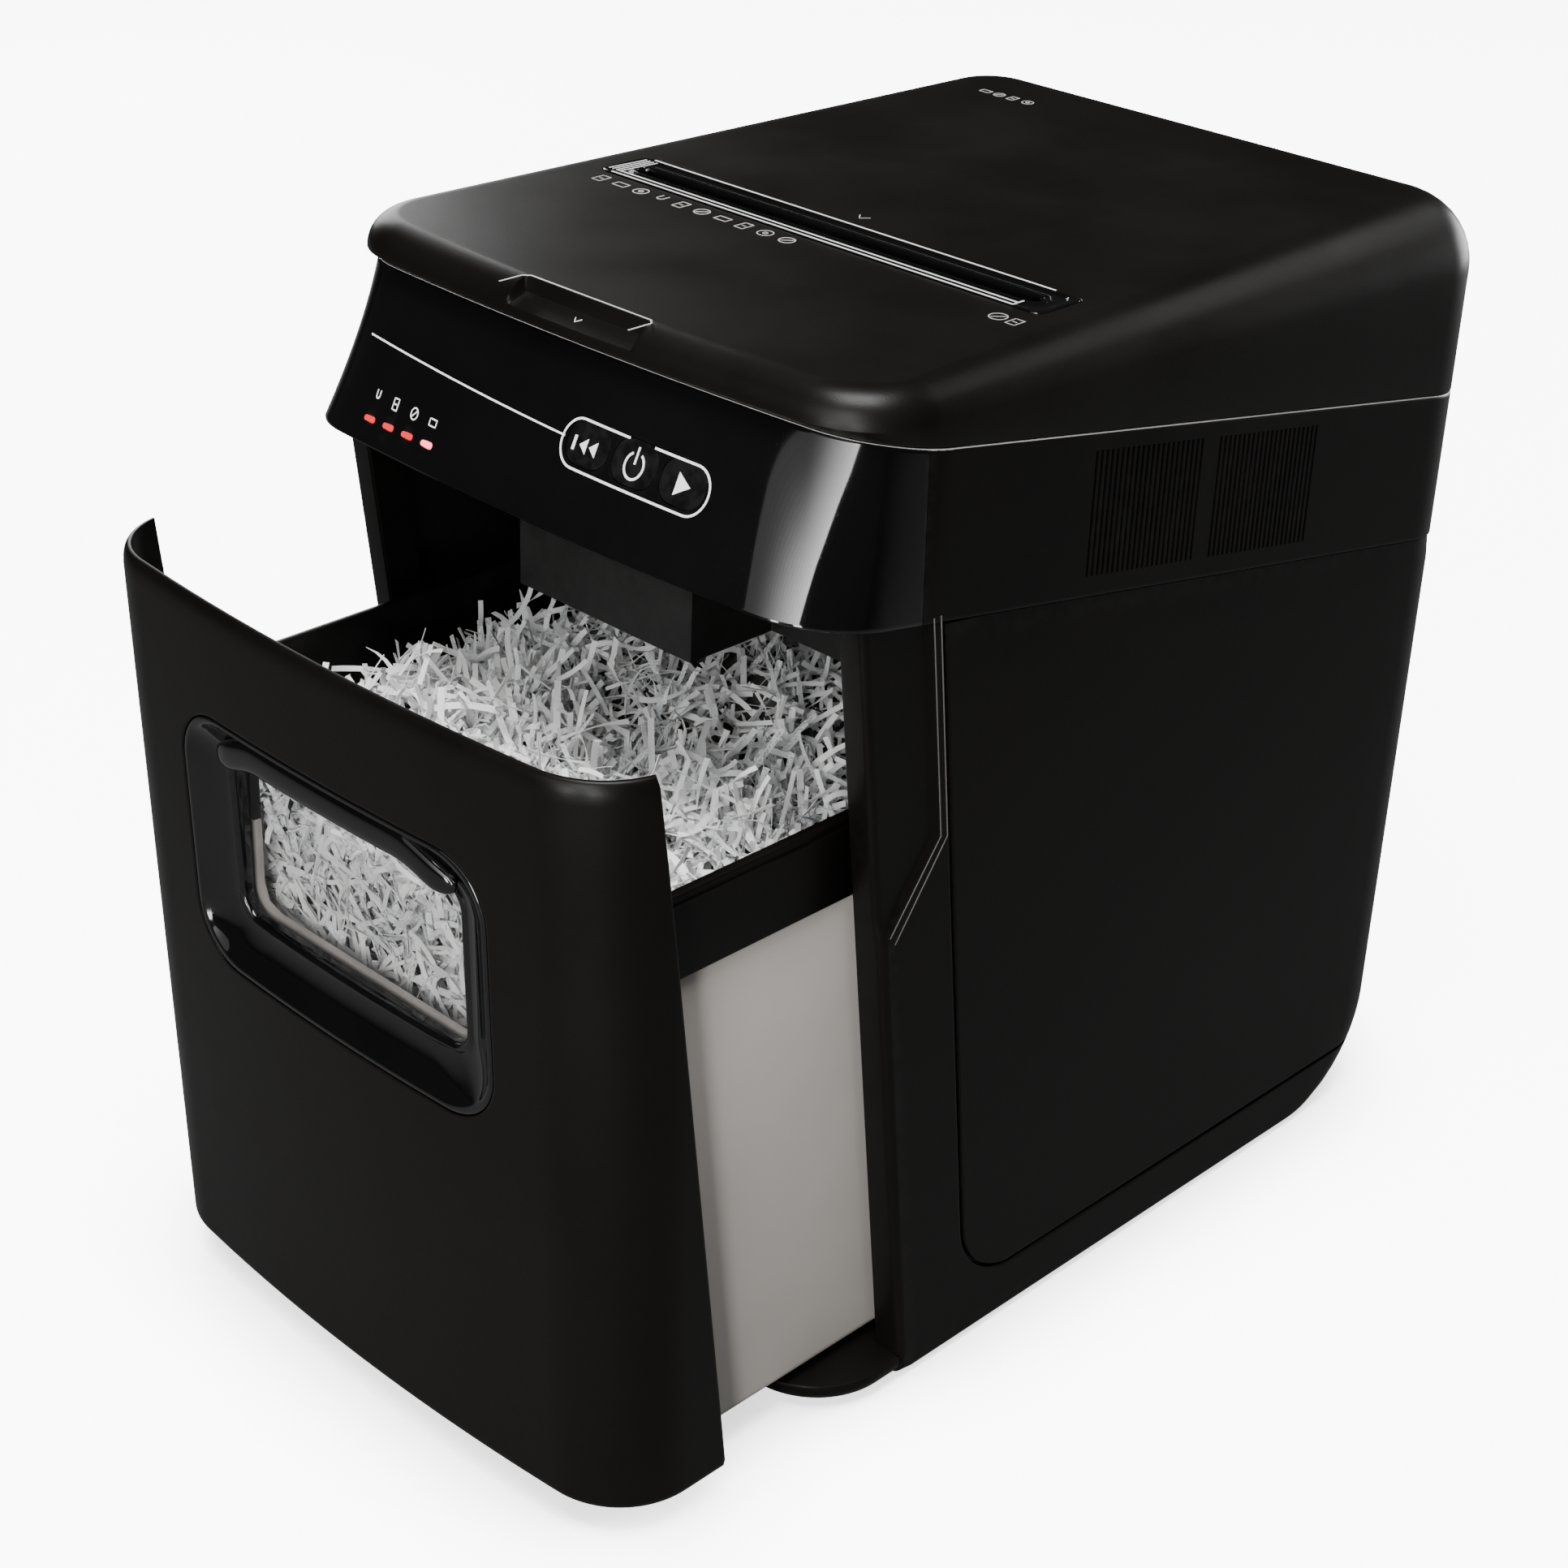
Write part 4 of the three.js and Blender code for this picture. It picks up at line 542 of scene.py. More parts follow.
def circuit_finish():
    """Green circuit board with copper tracks from a stepped noise."""
    material, tree, shader = new_material("circuit_board", Roughness=0.4)
    place = tree.nodes.new("ShaderNodeTexCoord").outputs["Object"]
    cells = node(tree, "ShaderNodeTexVoronoi", [("Vector", place)], in_Scale=260.0, distance="MANHATTAN")
    tracks = ramp(tree, cells.outputs["Distance"], 0.28, 0.34)
    base = mix_colour(tree, tracks, (0.03, 0.16, 0.07), (0.05, 0.28, 0.11))
    tree.links.new(base, shader.inputs["Base Color"])
    tree.links.new(ramp(tree, cells.outputs["Distance"], 0.2, 0.5, 0.3, 0.5), shader.inputs["Roughness"])
    return material


def clear_finish():
    """Clear window plastic, a little hazy in patches."""
    material, tree, shader = new_material("clear_window", Specular_IOR_Level=0.6)
    place = tree.nodes.new("ShaderNodeTexCoord").outputs["Object"]
    haze = node(tree, "ShaderNodeTexNoise", [("Vector", place)], in_Scale=40.0, in_Detail=3.0)
    tree.links.new(ramp(tree, haze.outputs[0], 0.3, 0.7, 0.02, 0.08), shader.inputs["Roughness"])
    tree.links.new(ramp(tree, haze.outputs[0], 0.3, 0.8, 0.2, 0.26), shader.inputs["Alpha"])
    base = mix_colour(tree, haze.outputs[0], (0.004, 0.004, 0.004), (0.01, 0.01, 0.01))
    tree.links.new(base, shader.inputs["Base Color"])
    return material


SATIN = moulded(
    "satin_black", (0.0022, 0.0018, 0.0016), (0.0027, 0.0022, 0.0019), 0.34, grain=1100.0, bump=0.07,
    dust=0.006, wear=0.02, swing=0.05, scratches=0.12, Specular_IOR_Level=0.12)
LID_SATIN = moulded(
    "lid_black", (0.0026, 0.0021, 0.0018), (0.0032, 0.0026, 0.0023), 0.36, grain=1100.0, bump=0.08,
    dust=0.01, wear=0.02, swing=0.06, scratches=0.15, Specular_IOR_Level=0.14)
GLOSS = moulded(
    "gloss_black", (0.0016, 0.0016, 0.0017), (0.0022, 0.0022, 0.0023), 0.07, grain=300.0, bump=0.0,
    dust=0.008, wear=0.03, swing=0.03, scratches=0.25, Specular_IOR_Level=0.5)
INNER = moulded(
    "inner_black", (0.0035, 0.0033, 0.0031), (0.0048, 0.0045, 0.0042), 0.5, grain=700.0, bump=0.15,
    dust=0.015, wear=0.04, Specular_IOR_Level=0.25)
BIN_GREY = moulded(
    "bin_grey", (0.37, 0.345, 0.318), (0.39, 0.365, 0.337), 0.4, grain=1300.0, bump=0.08,
    dust=0.03, wear=0.05, scratches=0.3)
RUBBER = moulded(
    "rubber", (0.018, 0.018, 0.018), (0.03, 0.03, 0.03), 0.85, grain=500.0, bump=0.4, dust=0.2, wear=0.1)
NYLON = moulded(
    "gear_nylon", (0.72, 0.69, 0.6), (0.78, 0.76, 0.68), 0.45, grain=800.0, bump=0.08, dust=0.0, wear=0.2)
CAP_BLACK = moulded(
    "button_black", (0.0018, 0.0018, 0.0019), (0.0024, 0.0024, 0.0024), 0.09, bump=0.0, dust=0.01,
    wear=0.03, swing=0.03, scratches=0.2)
INK = painted("print_ink", (0.72, 0.72, 0.7), (0.6, 0.6, 0.59), 0.45, bump=0.05)
LID_INK = painted("lid_print_ink", (0.42, 0.41, 0.39), (0.24, 0.235, 0.225), 0.5, bump=0.05)
# Pale finishes for thin lines along edges: painted highlights, dim and bright.
DIM_PAINTED_HIGHLIGHT = painted("dim_painted_highlight", (0.13, 0.122, 0.115), (0.09, 0.085, 0.08), 0.3)
BRIGHT_PAINTED_HIGHLIGHT = painted("bright_painted_highlight", (0.5, 0.49, 0.47), (0.4, 0.39, 0.38), 0.25)
STEEL = metal("plated_steel", (0.56, 0.56, 0.55), 0.3)
DARK_STEEL = metal("cutter_steel", (0.28, 0.29, 0.3), 0.35, stretch=(60.0, 900.0, 900.0), oil=0.3)
PAPER = paper_finish()
# Dark paper for the heap's core: its colour is painted shade, so the gaps between the strips read dark.
PAPER_PAINTED_SHADE = painted("paper_painted_shade", (0.055, 0.052, 0.048), (0.09, 0.086, 0.08), 0.9, grain=500.0, bump=0.4)
LAMP = lamp_finish()
CIRCUIT = circuit_finish()
CLEAR = clear_finish()

SLOT_FINISH = {
    "satin_black": SATIN, "gloss_black": GLOSS, "inner_black": INNER, "bin_grey": BIN_GREY, "clear": CLEAR,
    "steel": STEEL, "cutter_steel": DARK_STEEL, "rubber": RUBBER, "gear_plastic": NYLON, "circuit": CIRCUIT,
    "lamp_red": LAMP, "button_black": CAP_BLACK,
}


def dress_cad_nodes():
    """Every CAD node gets the finish of its slot; blocky ones get a small rounded edge."""
    plain = {"window_pane", "status_lights", "button_reverse", "button_power", "button_forward"}
    for row in frame["record"]["subparts"]:
        obj = frame["nodes"][row["node"]]
        obj.data.materials.clear()
        obj.data.materials.append(SLOT_FINISH[row["material_slot"]])
        if row["node"] in plain:
            continue
        weld = obj.modifiers.new("weld", "WELD")
        weld.merge_threshold = 0.00002
        edge = obj.modifiers.new("edge", "BEVEL")
        edge.width = 0.0005
        edge.segments = 2
        edge.limit_method = "ANGLE"
        edge.angle_limit = math.radians(50)
        edge.harden_normals = True


dress_cad_nodes()

# ---------------------------------------------------------------- head band

def between(front, start, end, count):
    """The right half outline cut off at start and end (in y, or None for the middle of the
    front and of the back), with count points evenly spaced along it."""
    rows = half_plan(front, steps=(120, 60, 60, 60, 40))
    first = 0.0 if start is None else np.interp(start, rows[119:240, 1], np.arange(119.0, 240.0))
    last = len(rows) - 1.0 if end is None else np.interp(end, rows[119:240, 1], np.arange(119.0, 240.0))
    number = np.arange(len(rows), dtype=float)
    keep = np.concatenate([[first], number[(number > first) & (number < last)], [last]])
    rows = np.stack([np.interp(keep, number, rows[:, k]) for k in range(4)], -1)
    run = np.concatenate([[0.0], np.cumsum(np.hypot(*np.diff(rows[:, :2], axis=0).T))])
    where = np.linspace(0.0, run[-1], count)
    return np.stack([np.interp(where, run, rows[:, k]) for k in range(4)], -1)


def band_sheet(low, high):
    """Part of the head band between two outlines, low on the lower seam and high on the
    upper one: straight lines join matching points, both ends rounded by 1.2 mm."""
    share = np.array([0.0, 0.3, 1.0, 2.2, 12.0, 25.0, 37.0, 50.0, 62.0, 72.6, 73.8, 74.5, 74.8]) / 74.8
    drop = roll(np.minimum(share, 1 - share) * 74.8, 1.2)

    def grid(inset):
        columns = []
        for k, part in enumerate(share):
            a = moved_in(low, np.full(len(low), inset[k]))
            b = moved_in(high, np.full(len(high), inset[k]))
            a = at_height(a, lower_seam(a[:, 1]) + SEAM_GAP)
            b = at_height(b, upper_seam(b[:, 1]) - SEAM_GAP)
            columns.append(blend(a, b, part))
        return np.stack(columns, 1)
    return grid(drop), grid(np.full(len(share), WALL))


def face_point(x, z, lift=0.0):
    """A point on the control panel's face at x and height z, lifted off it by lift."""
    x, z = np.broadcast_arrays(np.asarray(x, float), np.asarray(z, float))
    bow = BOW_RADIUS - np.sqrt(BOW_RADIUS ** 2 - x ** 2)
    y_low, y_high = PANEL_BOTTOM_Y + bow, PANEL_TOP_Y + bow
    z_low, z_high = lower_seam(y_low) + SEAM_GAP, upper_seam(y_high) - SEAM_GAP
    share = (z - z_low) / (z_high - z_low)
    y = blend(y_low, y_high, share)
    return np.stack([x + lift * x / BOW_RADIUS, y - 0.899 * lift, z + 0.438 * lift], -1)


def face_prism(outline, depth, ahead=6.0):
    """A prism through the control panel from a closed outline given in (x, up the face)."""
    up = np.array([0.0, 33.5, 68.6])
    up = up / np.linalg.norm(up)
    out = np.array([0.0, -up[2], up[1]])
    start = np.array([0.0, PANEL_BOTTOM_Y, lower_seam(PANEL_BOTTOM_Y)])
    flat = start + outline[:, :1] * [1.0, 0.0, 0.0] + outline[:, 1:] * up
    return ring_parts([flat - depth * out, flat + ahead * out])


def make_head():
    front = both_sides(between(PANEL_BOTTOM_Y, None, PANEL_END_Y - SEAM_GAP, 90))
    front_top = both_sides(between(PANEL_TOP_Y, None, PANEL_END_Y - SEAM_GAP, 90))
    buttons = [face_prism(rounded_rect(24.8, 19.8, 8.2, 40, (x, 40.0)), 20.0) for x in (25.0, 52.0, 79.0)]
    lenses = [face_prism(rounded_rect(8.6, 3.2, 1.3, 20, (x, 13.0)), 20.0)
              for x in (-109.0, -95.0, -81.0, -67.0)]
    outer, inner = band_sheet(front, front_top)
    panel = piece("control_panel_shell", sheet_parts(outer, inner), GLOSS, "cabinet", ["control_panel"],
                  carve=[join_parts(buttons + lenses)])
    low, high = (between(front, PANEL_END_Y + SEAM_GAP, None, 130) for front in (PANEL_BOTTOM_Y, PANEL_TOP_Y))
    low, high = (np.concatenate([half, half[-2::-1] * [-1.0, 1.0, -1.0, 1.0]]) for half in (low, high))
    outer, inner = band_sheet(low, high)
    cuts = [box_parts(59.0, 85.0, 200.0, 260.0, 362.0, 382.0),
            box_parts(17.7, 42.3, 200.0, 260.0, 362.7, 381.3)]
    piece("head_band_shell", sheet_parts(outer, inner), SATIN, "cabinet", ["head_shell"],
          carve=[join_parts(vent_cutters() + cuts)])
    return panel


def box_parts(x0, x1, y0, y1, z0, z1):
    ring = np.array([[x0, y0], [x1, y0], [x1, y1], [x0, y1]])
    return ring_parts([at_height(ring, z0), at_height(ring, z1)])


def vent_cutters():
    """Upright slots through both cheeks, in two blocks a side, between the seams."""
    cutters = []
    for start in (-75.0, 12.0):
        for y in start + 3.5 * np.arange(22):
            low = lower_seam(y + 0.8) + 10.0
            high = upper_seam(y + 0.8) - 8.0
            for x0, x1 in ((-175.0, -150.0), (150.0, 175.0)):
                cutters.append(box_parts(x0, x1, y, y + 1.6, low, high))
    return cutters


# ---------------------------------------------------------------- lid

NOTCH_HALF = 38.0


def notch_floor(y):
    return TOP_Z - 6.0 + (y + 208.0) * 6.0 / 17.5


def make_lid():
    """The lid: the seam outline, a rolled shoulder whose radius grows from 14 mm at the front
    to 36 mm at the back (a quarter circle moved along the outline's normal), then a flat top
    that runs in straight lines to the hole for the paper slot."""
    lines = [0.0, 12.0, 24.0, 34.0, 36.4, 37.2, 38.0, 38.8, 39.6, 42.0]
    bow_x = np.array(lines + list(np.linspace(50.0, BOW_RADIUS * 123.0 / 1258.0, 18)))
    steps = (0, 22, 26, 22, 22)
    seam = whole_plan(PANEL_TOP_Y, bow_x=bow_x, steps=steps)
    brow = whole_plan(LID_FRONT_Y, bow_x=bow_x, steps=steps)
    hole = rounded_rect(268.6, 30.6, 5.0, len(brow), (0.0, SLOT_Y))
    angles = np.radians([0, 6, 12, 20, 28, 37, 46, 55, 63, 69.5, 73.5, 77, 81.5, 84.5, 87.5, 90])

    def shoulder(y):
        return blend(14.0, 36.0, (y - LID_FRONT_Y) / (BACK_Y - LID_FRONT_Y))

    def grid(wall):
        edge = WALL if wall else 0.0
        columns = []
        for rise in (0.0, 0.3, 1.0):
            rounding = 0.0 if wall else 1.0 - math.sqrt(1 - (1 - rise) ** 2)
            flat = moved_in(seam, np.full(len(seam), edge + rounding))
            share = rise / 8.0
            high = moved_in(brow, np.full(len(brow), edge))
            flat = blend(flat, high, share)
            columns.append(at_height(flat, upper_seam(flat[:, 1]) + SEAM_GAP + rise))
        for angle in angles:
            step = edge + (shoulder(brow[:, 1]) - edge) * (1 - math.cos(angle))
            flat = moved_in(brow, step)
            height = TOP_Z - edge - (shoulder(flat[:, 1]) - edge) * (1 - math.sin(angle))
            columns.append(at_height(flat, height))
        rim = columns[-1][:, :2]
        for share in (0.01, 0.12, 0.3, 0.5, 0.7, 0.9, 0.985, 0.996, 1.0):
            lip = 0.25 if share == 1.0 and not wall else 0.0
            columns.append(at_height(blend(rim, hole, share), TOP_Z - edge - lip))
        points = np.stack(columns, 1)
        x, y, z = points[..., 0], points[..., 1], points[..., 2]
        inside = 1 - smooth(NOTCH_HALF - 0.6, NOTCH_HALF + 0.6, np.abs(x) - (edge * 1.2))
        inside = inside * (1 - smooth(-208.9 + edge * 1.2, -207.8 + edge * 1.2, y))
        lowered = np.minimum(z, notch_floor(y) - edge)
        points[..., 2] = z + inside * (lowered - z)
        return points
    piece("lid_top_shell", sheet_parts(grid(False), grid(True), wrap_rows=True), LID_SATIN, "lid",
          ["lid_shell"])


def make_seam_painted_highlight():
    """A fine bead under the lid in a pale finish, a painted highlight along the seam: a circle of 0.6 mm
    swept round the upper seam.
    """
    plan = whole_plan(PANEL_TOP_Y, steps=(60, 30, 30, 30, 30))
    columns = []
    for turn in np.linspace(0.0, 2.0 * math.pi, 9)[:-1]:
        flat = moved_in(plan, np.full(len(plan), 0.85 + 0.6 * math.cos(turn)))
        columns.append(at_height(flat, upper_seam(flat[:, 1]) - 0.75 + 0.6 * math.sin(turn)))
    piece("seam_painted_highlight", loop_parts(np.stack(columns, 1)), BRIGHT_PAINTED_HIGHLIGHT, "cabinet", sharp=80)


def make_slot_insert():
    """The slot's frame: each section runs from the outer outline (268 x 30) at w = 0 to the
    slit's outline (244 x 8) at w = 1, over a raised rim, a shallow dish and a funnel."""
    count = 360
    outer = rounded_rect(268.0, 30.0, 5.0, count, (0.0, SLOT_Y))
    slit = rounded_rect(244.0, 8.0, 3.9, count, (0.0, SLOT_Y))
    section = [
        (0.0, 485.0), (0.0, 489.9), (0.01, 490.3), (0.04, 490.5), (0.1, 490.6), (0.2, 490.5), (0.24, 490.3),
        (0.27, 489.7), (0.32, 489.4), (0.5, 489.35), (0.68, 489.4), (0.74, 489.8), (0.8, 490.2),
        (0.86, 490.3),
        (0.92, 490.1), (0.97, 489.4), (1.0, 488.0), (1.0, 464.0), (0.83, 464.0), (0.83, 485.0),
    ]
    points = np.stack([at_height(blend(outer, slit, w), z) for w, z in section], 1)
    piece("paper_slot_frame", loop_parts(points), GLOSS, "lid", ["slot_insert"])


# ---------------------------------------------------------------- cabinet sides

def back_at(z):
    drop = np.maximum(0.0, FOOT_Z + BACK_FOOT_RADIUS - z)
    return BACK_Y - BACK_FOOT_RADIUS + np.sqrt(BACK_FOOT_RADIUS ** 2 - drop ** 2)


def side_length(z):
    return back_at(z) - BACK_CORNER - pillar_front(np.maximum(z, BASE_TOP_Z + 0.3))


def cabinet_point(s, z, inset):
    """A point of the cabinet's right half. s runs 0 to 1 along the flat side from the pillar's
    front edge, 1 to 2 round the back corner and 2 to 3 along the back to the middle."""
    s, z, inset = np.broadcast_arrays(s, z, inset)
    corner_y = back_at(z) - BACK_CORNER
    side_y = corner_y - (1 - s) * side_length(z)
    turn = np.clip(s - 1, 0.0, 1.0) * math.pi / 2
    nx, ny = np.cos(turn), np.sin(turn)
    corner_x = HALF_WIDTH - BACK_CORNER
    x = corner_x + BACK_CORNER * nx
    y = np.where(s < 1, side_y, corner_y + BACK_CORNER * ny)
    x = np.where(s > 2, corner_x * (3 - s), x)
    y = np.where(s > 2, back_at(z), y)
    return np.stack([x - nx * inset, y - ny * inset, z], -1)


def solve_seam(s, share, low, drop=SEAM_GAP):
    """Heights at a share of the way from low up to the lower seam, which falls with y."""
    z = np.full(np.broadcast(s, share).shape, 380.0)
    for _ in range(4):
        top = lower_seam(cabinet_point(s, z, 0.0)[..., 1]) - drop
        z = blend(low, top, share)
    return z


GROOVE = 1.6
PANEL_SETBACK = 46.0
PANEL_LOW_Z = 31.0
PANEL_RADIUS = 34.0
RELIEF_WIDTH = 38.0


def make_side_panel(sign, side):
    """The panel in the side: columns of s from a leaning front edge, whose lower corner is a
    quarter circle, round the back corner; rows of height up to the lower seam."""
    rise = np.array([0.0, 0.3, 0.8, 1.6, 3.0, 5.0, 8.0, 12.0, 17.0, 23.0, 29.0, 34.0, 43.0, 51.5, 51.8])
    shares = np.linspace(0.05, 1.0, 20)
    reach = np.array([0.0, 0.3, 0.8, 1.6, 3.0])
    along = np.linspace(0.04, 1.0, 14)
    z_low = PANEL_LOW_Z + rise
    first = np.maximum(0.0, PANEL_RADIUS - rise)
    corner = PANEL_RADIUS - np.sqrt(PANEL_RADIUS ** 2 - first ** 2)
    rows = []
    for row in range(15 + 20):
        low_row = row < 15
        lead = corner[row] if low_row else 0.0
        z_guess = z_low[row] if low_row else None

        def columns(z):
            start = (PANEL_SETBACK + lead + reach) / side_length(z)
            return np.concatenate([
                start, blend(start[-1], 1.0, along), 1 + np.linspace(0.06, 1.0, 16),
                [2.0212, 2.0229, 2.0236, 2.03], np.linspace(2.1, 2.9988, 8),
            ])
        if low_row:
            s = columns(z_guess)
            z = np.full(len(s), z_guess)
        else:
            s = columns(220.0)
            z = solve_seam(s, shares[row - 15], PANEL_LOW_Z + 51.8)
            start = (PANEL_SETBACK + reach[:, None]) / side_length(z[None, :5])
            s = s.copy()
            s[:5] = np.diagonal(start)
        rows.append((s, z))
    s = np.stack([r[0] for r in rows])
    z = np.stack([r[1] for r in rows])
    top = lower_seam(cabinet_point(s, z, 0.0)[..., 1]) - SEAM_GAP - z
    to_front = np.broadcast_to(np.concatenate([reach, np.full(s.shape[1] - 5, 9.0)]), s.shape)
    drop = roll(np.minimum(np.minimum(z - PANEL_LOW_Z, top), to_front), 0.9)
    outer = cabinet_point(s, z, drop)
    inner = cabinet_point(s, z, WALL)
    mask = np.ones((s.shape[0] - 1, s.shape[1] - 1), bool)
    mask[14:, 5 + 14 + 16 + 2:] = False
    for grid in (outer, inner):
        grid[..., 0] *= sign
    piece(f"side_panel_{side}_shell", sheet_parts(outer, inner, mask=mask), SATIN, "cabinet",
          [f"side_panel_{side}"])


def relief_width(z):
    """How far the grip relief reaches back from the pillar's front edge."""
    return np.clip(blend(5.0, RELIEF_WIDTH, (z - 250.0) / 38.0), 5.0, RELIEF_WIDTH)


def make_side_frame(sign, side):
    """The frame round the panel: a strip that runs down the pillar, round the panel's lower
    corner and along the sill to the middle of the back. Its outer line is the frame's edge,
    its inner line the groove round the panel."""
    pillar_share = np.concatenate([[1.0, 0.9995, 0.998, 0.994], np.linspace(0.985, 0.0, 64)])
    pillar_z = solve_seam(np.zeros(len(pillar_share)), pillar_share, PANEL_LOW_Z + PANEL_RADIUS)
    length = side_length(pillar_z)
    rows_outer = [(0.0 * pillar_z, pillar_z)]
    rows_inner = [((PANEL_SETBACK - GROOVE) / length, pillar_z)]
    arc = np.linspace(0.0, math.pi / 2, 21)[1:]
    radius = PANEL_RADIUS + GROOVE
    arc_z = PANEL_LOW_Z + PANEL_RADIUS - radius * np.sin(arc)
    arc_lead = PANEL_SETBACK + PANEL_RADIUS - radius * np.cos(arc)
    rows_inner.append((arc_lead / side_length(arc_z), arc_z))
    down = np.linspace(PANEL_LOW_Z + PANEL_RADIUS, FOOT_Z, 11)[1:]
    run = np.linspace(0.0, 1.0, 11)[1:] * (PANEL_SETBACK + PANEL_RADIUS) / side_length(FOOT_Z)
    rows_outer.append((np.concatenate([0 * down, run]), np.concatenate([down, np.full(10, FOOT_Z)])))
    last = rows_inner[-1][0][-1]
    sill = np.concatenate([np.linspace(0.04, 1.0, 16), 1 + np.linspace(0.05, 1.0, 20),
                           2 + np.linspace(0.1, 0.9985, 10)])
    inner_s = np.where(sill < 1, blend(last, 1.0, sill), sill)
    outer_s = np.where(sill < 1, blend(run[-1], 1.0, sill), sill)
    rows_inner.append((inner_s, np.full(len(sill), PANEL_LOW_Z - GROOVE)))
    rows_outer.append((outer_s, np.full(len(sill), FOOT_Z)))
    s0 = np.concatenate([r[0] for r in rows_outer])[:, None]
    z0 = np.concatenate([r[1] for r in rows_outer])[:, None]
    s1 = np.concatenate([r[0] for r in rows_inner])[:, None]
    z1 = np.concatenate([r[1] for r in rows_inner])[:, None]
    ends = cabinet_point(s0, z0, 0.0)[:, 0], cabinet_point(s1, z1, 0.0)[:, 0]
    width = np.linalg.norm(ends[1] - ends[0], axis=-1)[:, None]
    brow = np.minimum(relief_width(z0), width - 6.0)
    count = len(width)
    near = np.broadcast_to([0.0, 0.35, 1.0, 2.2, 4.0], (count, 5)) * np.minimum(1.0, width / 20.0)
    step = brow - 4.0 * smooth(5.0, 12.0, brow)
    lines = np.concatenate([
        near,
        blend(near[:, -1:] + 0.5, np.maximum(step - 0.8, near[:, -1:] + 0.6), np.linspace(0, 1, 5)[None]),
        np.maximum(step - 0.4, near[:, -1:] + 0.8), np.maximum(step + 0.4, near[:, -1:] + 1.0),
        np.maximum(brow - 0.4, near[:, -1:] + 1.3), brow + 0.4 + near[:, -1:] * 0,
        blend(brow + 1.0, width - 1.6, np.linspace(0, 1, 5)[None]), width - 0.8, width - 0.25, width,
    ], 1)
    lines = np.maximum.accumulate(lines, 1)
    share = lines / width
    s = blend(s0, s1, share)
    z = blend(z0, z1, share)
    lead = lines
    top = lower_seam(cabinet_point(s, z, 0.0)[..., 1]) - SEAM_GAP - z
    drop = np.maximum.reduce([
        roll(np.where(s < 1, s * side_length(z), 99.0), 4.0),
        roll(z - FOOT_Z, 1.6), roll(top, 0.9), roll(width - lead, 0.8),
    ])
    deep = 2.2 * smooth(244.0, 262.0, z) * (1 - smooth(-3.8, -0.2, lead - brow)) * (z > 240)
    outer = cabinet_point(s, z, np.maximum(drop, np.where(deep > 0, deep + roll(lead, 3.0), 0.0)))
    thick = blend(16.0, WALL, smooth(20.0, 25.0, np.where(s < 1, s * side_length(z), 99.0)))
    inner = cabinet_point(s, z, thick - 1.2 * (lead < 0.5) * (thick > 10))
    for grid in (outer, inner):
        grid[..., 0] *= sign
    piece(f"side_frame_{side}_shell", sheet_parts(outer, inner), SATIN, "cabinet",
          [f"side_frame_{side}"])


def make_side_liner(sign, side):
    """A thin liner behind the groove round the panel, so that no light comes through it."""
    s = np.concatenate([np.linspace(0.0, 1.0, 12), 1 + np.linspace(0.1, 1.0, 10), [2.1]])[None, :]
    share = np.linspace(0.0, 1.0, 14)[:, None]
    z = solve_seam(s + 0 * share, share, 16.0, drop=2.0)
    s = np.maximum(s, 27.0 / side_length(z))
    outer, inner = cabinet_point(s, z, 3.4), cabinet_point(s, z, 4.4)
    for grid in (outer, inner):
        grid[..., 0] *= sign
    piece(f"side_liner_{side}", sheet_parts(outer, inner), INNER, "cabinet")


def make_rear_panel():
    """The plate in the middle of the back, up to the falling lower seam, with rounded edges."""
    x = 118.0 * np.concatenate([[-1.0, -0.998, -0.992, -0.98], np.linspace(-0.96, 0.96, 40),
                                [0.98, 0.992, 0.998, 1.0]])
    low = PANEL_LOW_Z + BACK_FOOT_RADIUS
    high = lower_seam(BACK_Y) - SEAM_GAP
    z = low + (high - low) * np.concatenate([[0.0, 0.001, 0.004, 0.01], np.linspace(0.02, 0.98, 40),
                                             [0.99, 0.996, 0.999, 1.0]])
    x, z = np.meshgrid(x, z, indexing="ij")
    drop = roll(np.minimum(118.0 - np.abs(x), np.minimum(z - low, high - z)), 1.0)
    outer = np.stack([x, BACK_Y - drop, z], -1)
    inner = np.stack([x, np.full_like(x, BACK_Y - WALL), z], -1)
    piece("rear_panel_shell", sheet_parts(outer, inner), SATIN, "cabinet", ["rear_panel"])


def make_base():
    """The base: an outline that follows the bowed front, then steps in under the side frames,
    with its lower edge rounded by 7 mm."""
    end = pillar_front(BASE_TOP_Z) - 0.3
    half = half_plan(-224.0, stop=end, steps=(30, 20, 6, 0, 0))
    corner = BACK_CORNER - WALL - 0.3
    start = np.array([[HALF_WIDTH - WALL - 0.3, end, 1.0, 0.0]])
    tail = arc_rows(HALF_WIDTH - BACK_CORNER, BACK_Y - BACK_FOOT_RADIUS - BACK_CORNER, corner,
                    np.linspace(0.0, math.pi / 2, 14))
    half = np.concatenate([half, start, tail])
    plan = np.concatenate([half, half[:0:-1] * [-1.0, 1.0, -1.0, 1.0]])
    rings = []
    for angle in np.radians([0, 15, 30, 45, 60, 75, 90]):
        inset = np.full(len(plan), 7.0 * (1 - math.sin(angle)))
        rings.append(at_height(moved_in(plan, inset), FOOT_Z + 7.0 * (1 - math.cos(angle))))
    for inset, height in ((0.0, BASE_TOP_Z - 0.8), (0.25, BASE_TOP_Z - 0.2), (0.9, BASE_TOP_Z)):
        rings.append(at_height(moved_in(plan, np.full(len(plan), inset)), height))
    piece("base_tray_shell", ring_parts(rings), SATIN, "cabinet", ["base_tray"])


# ---------------------------------------------------------------- bin cover and window

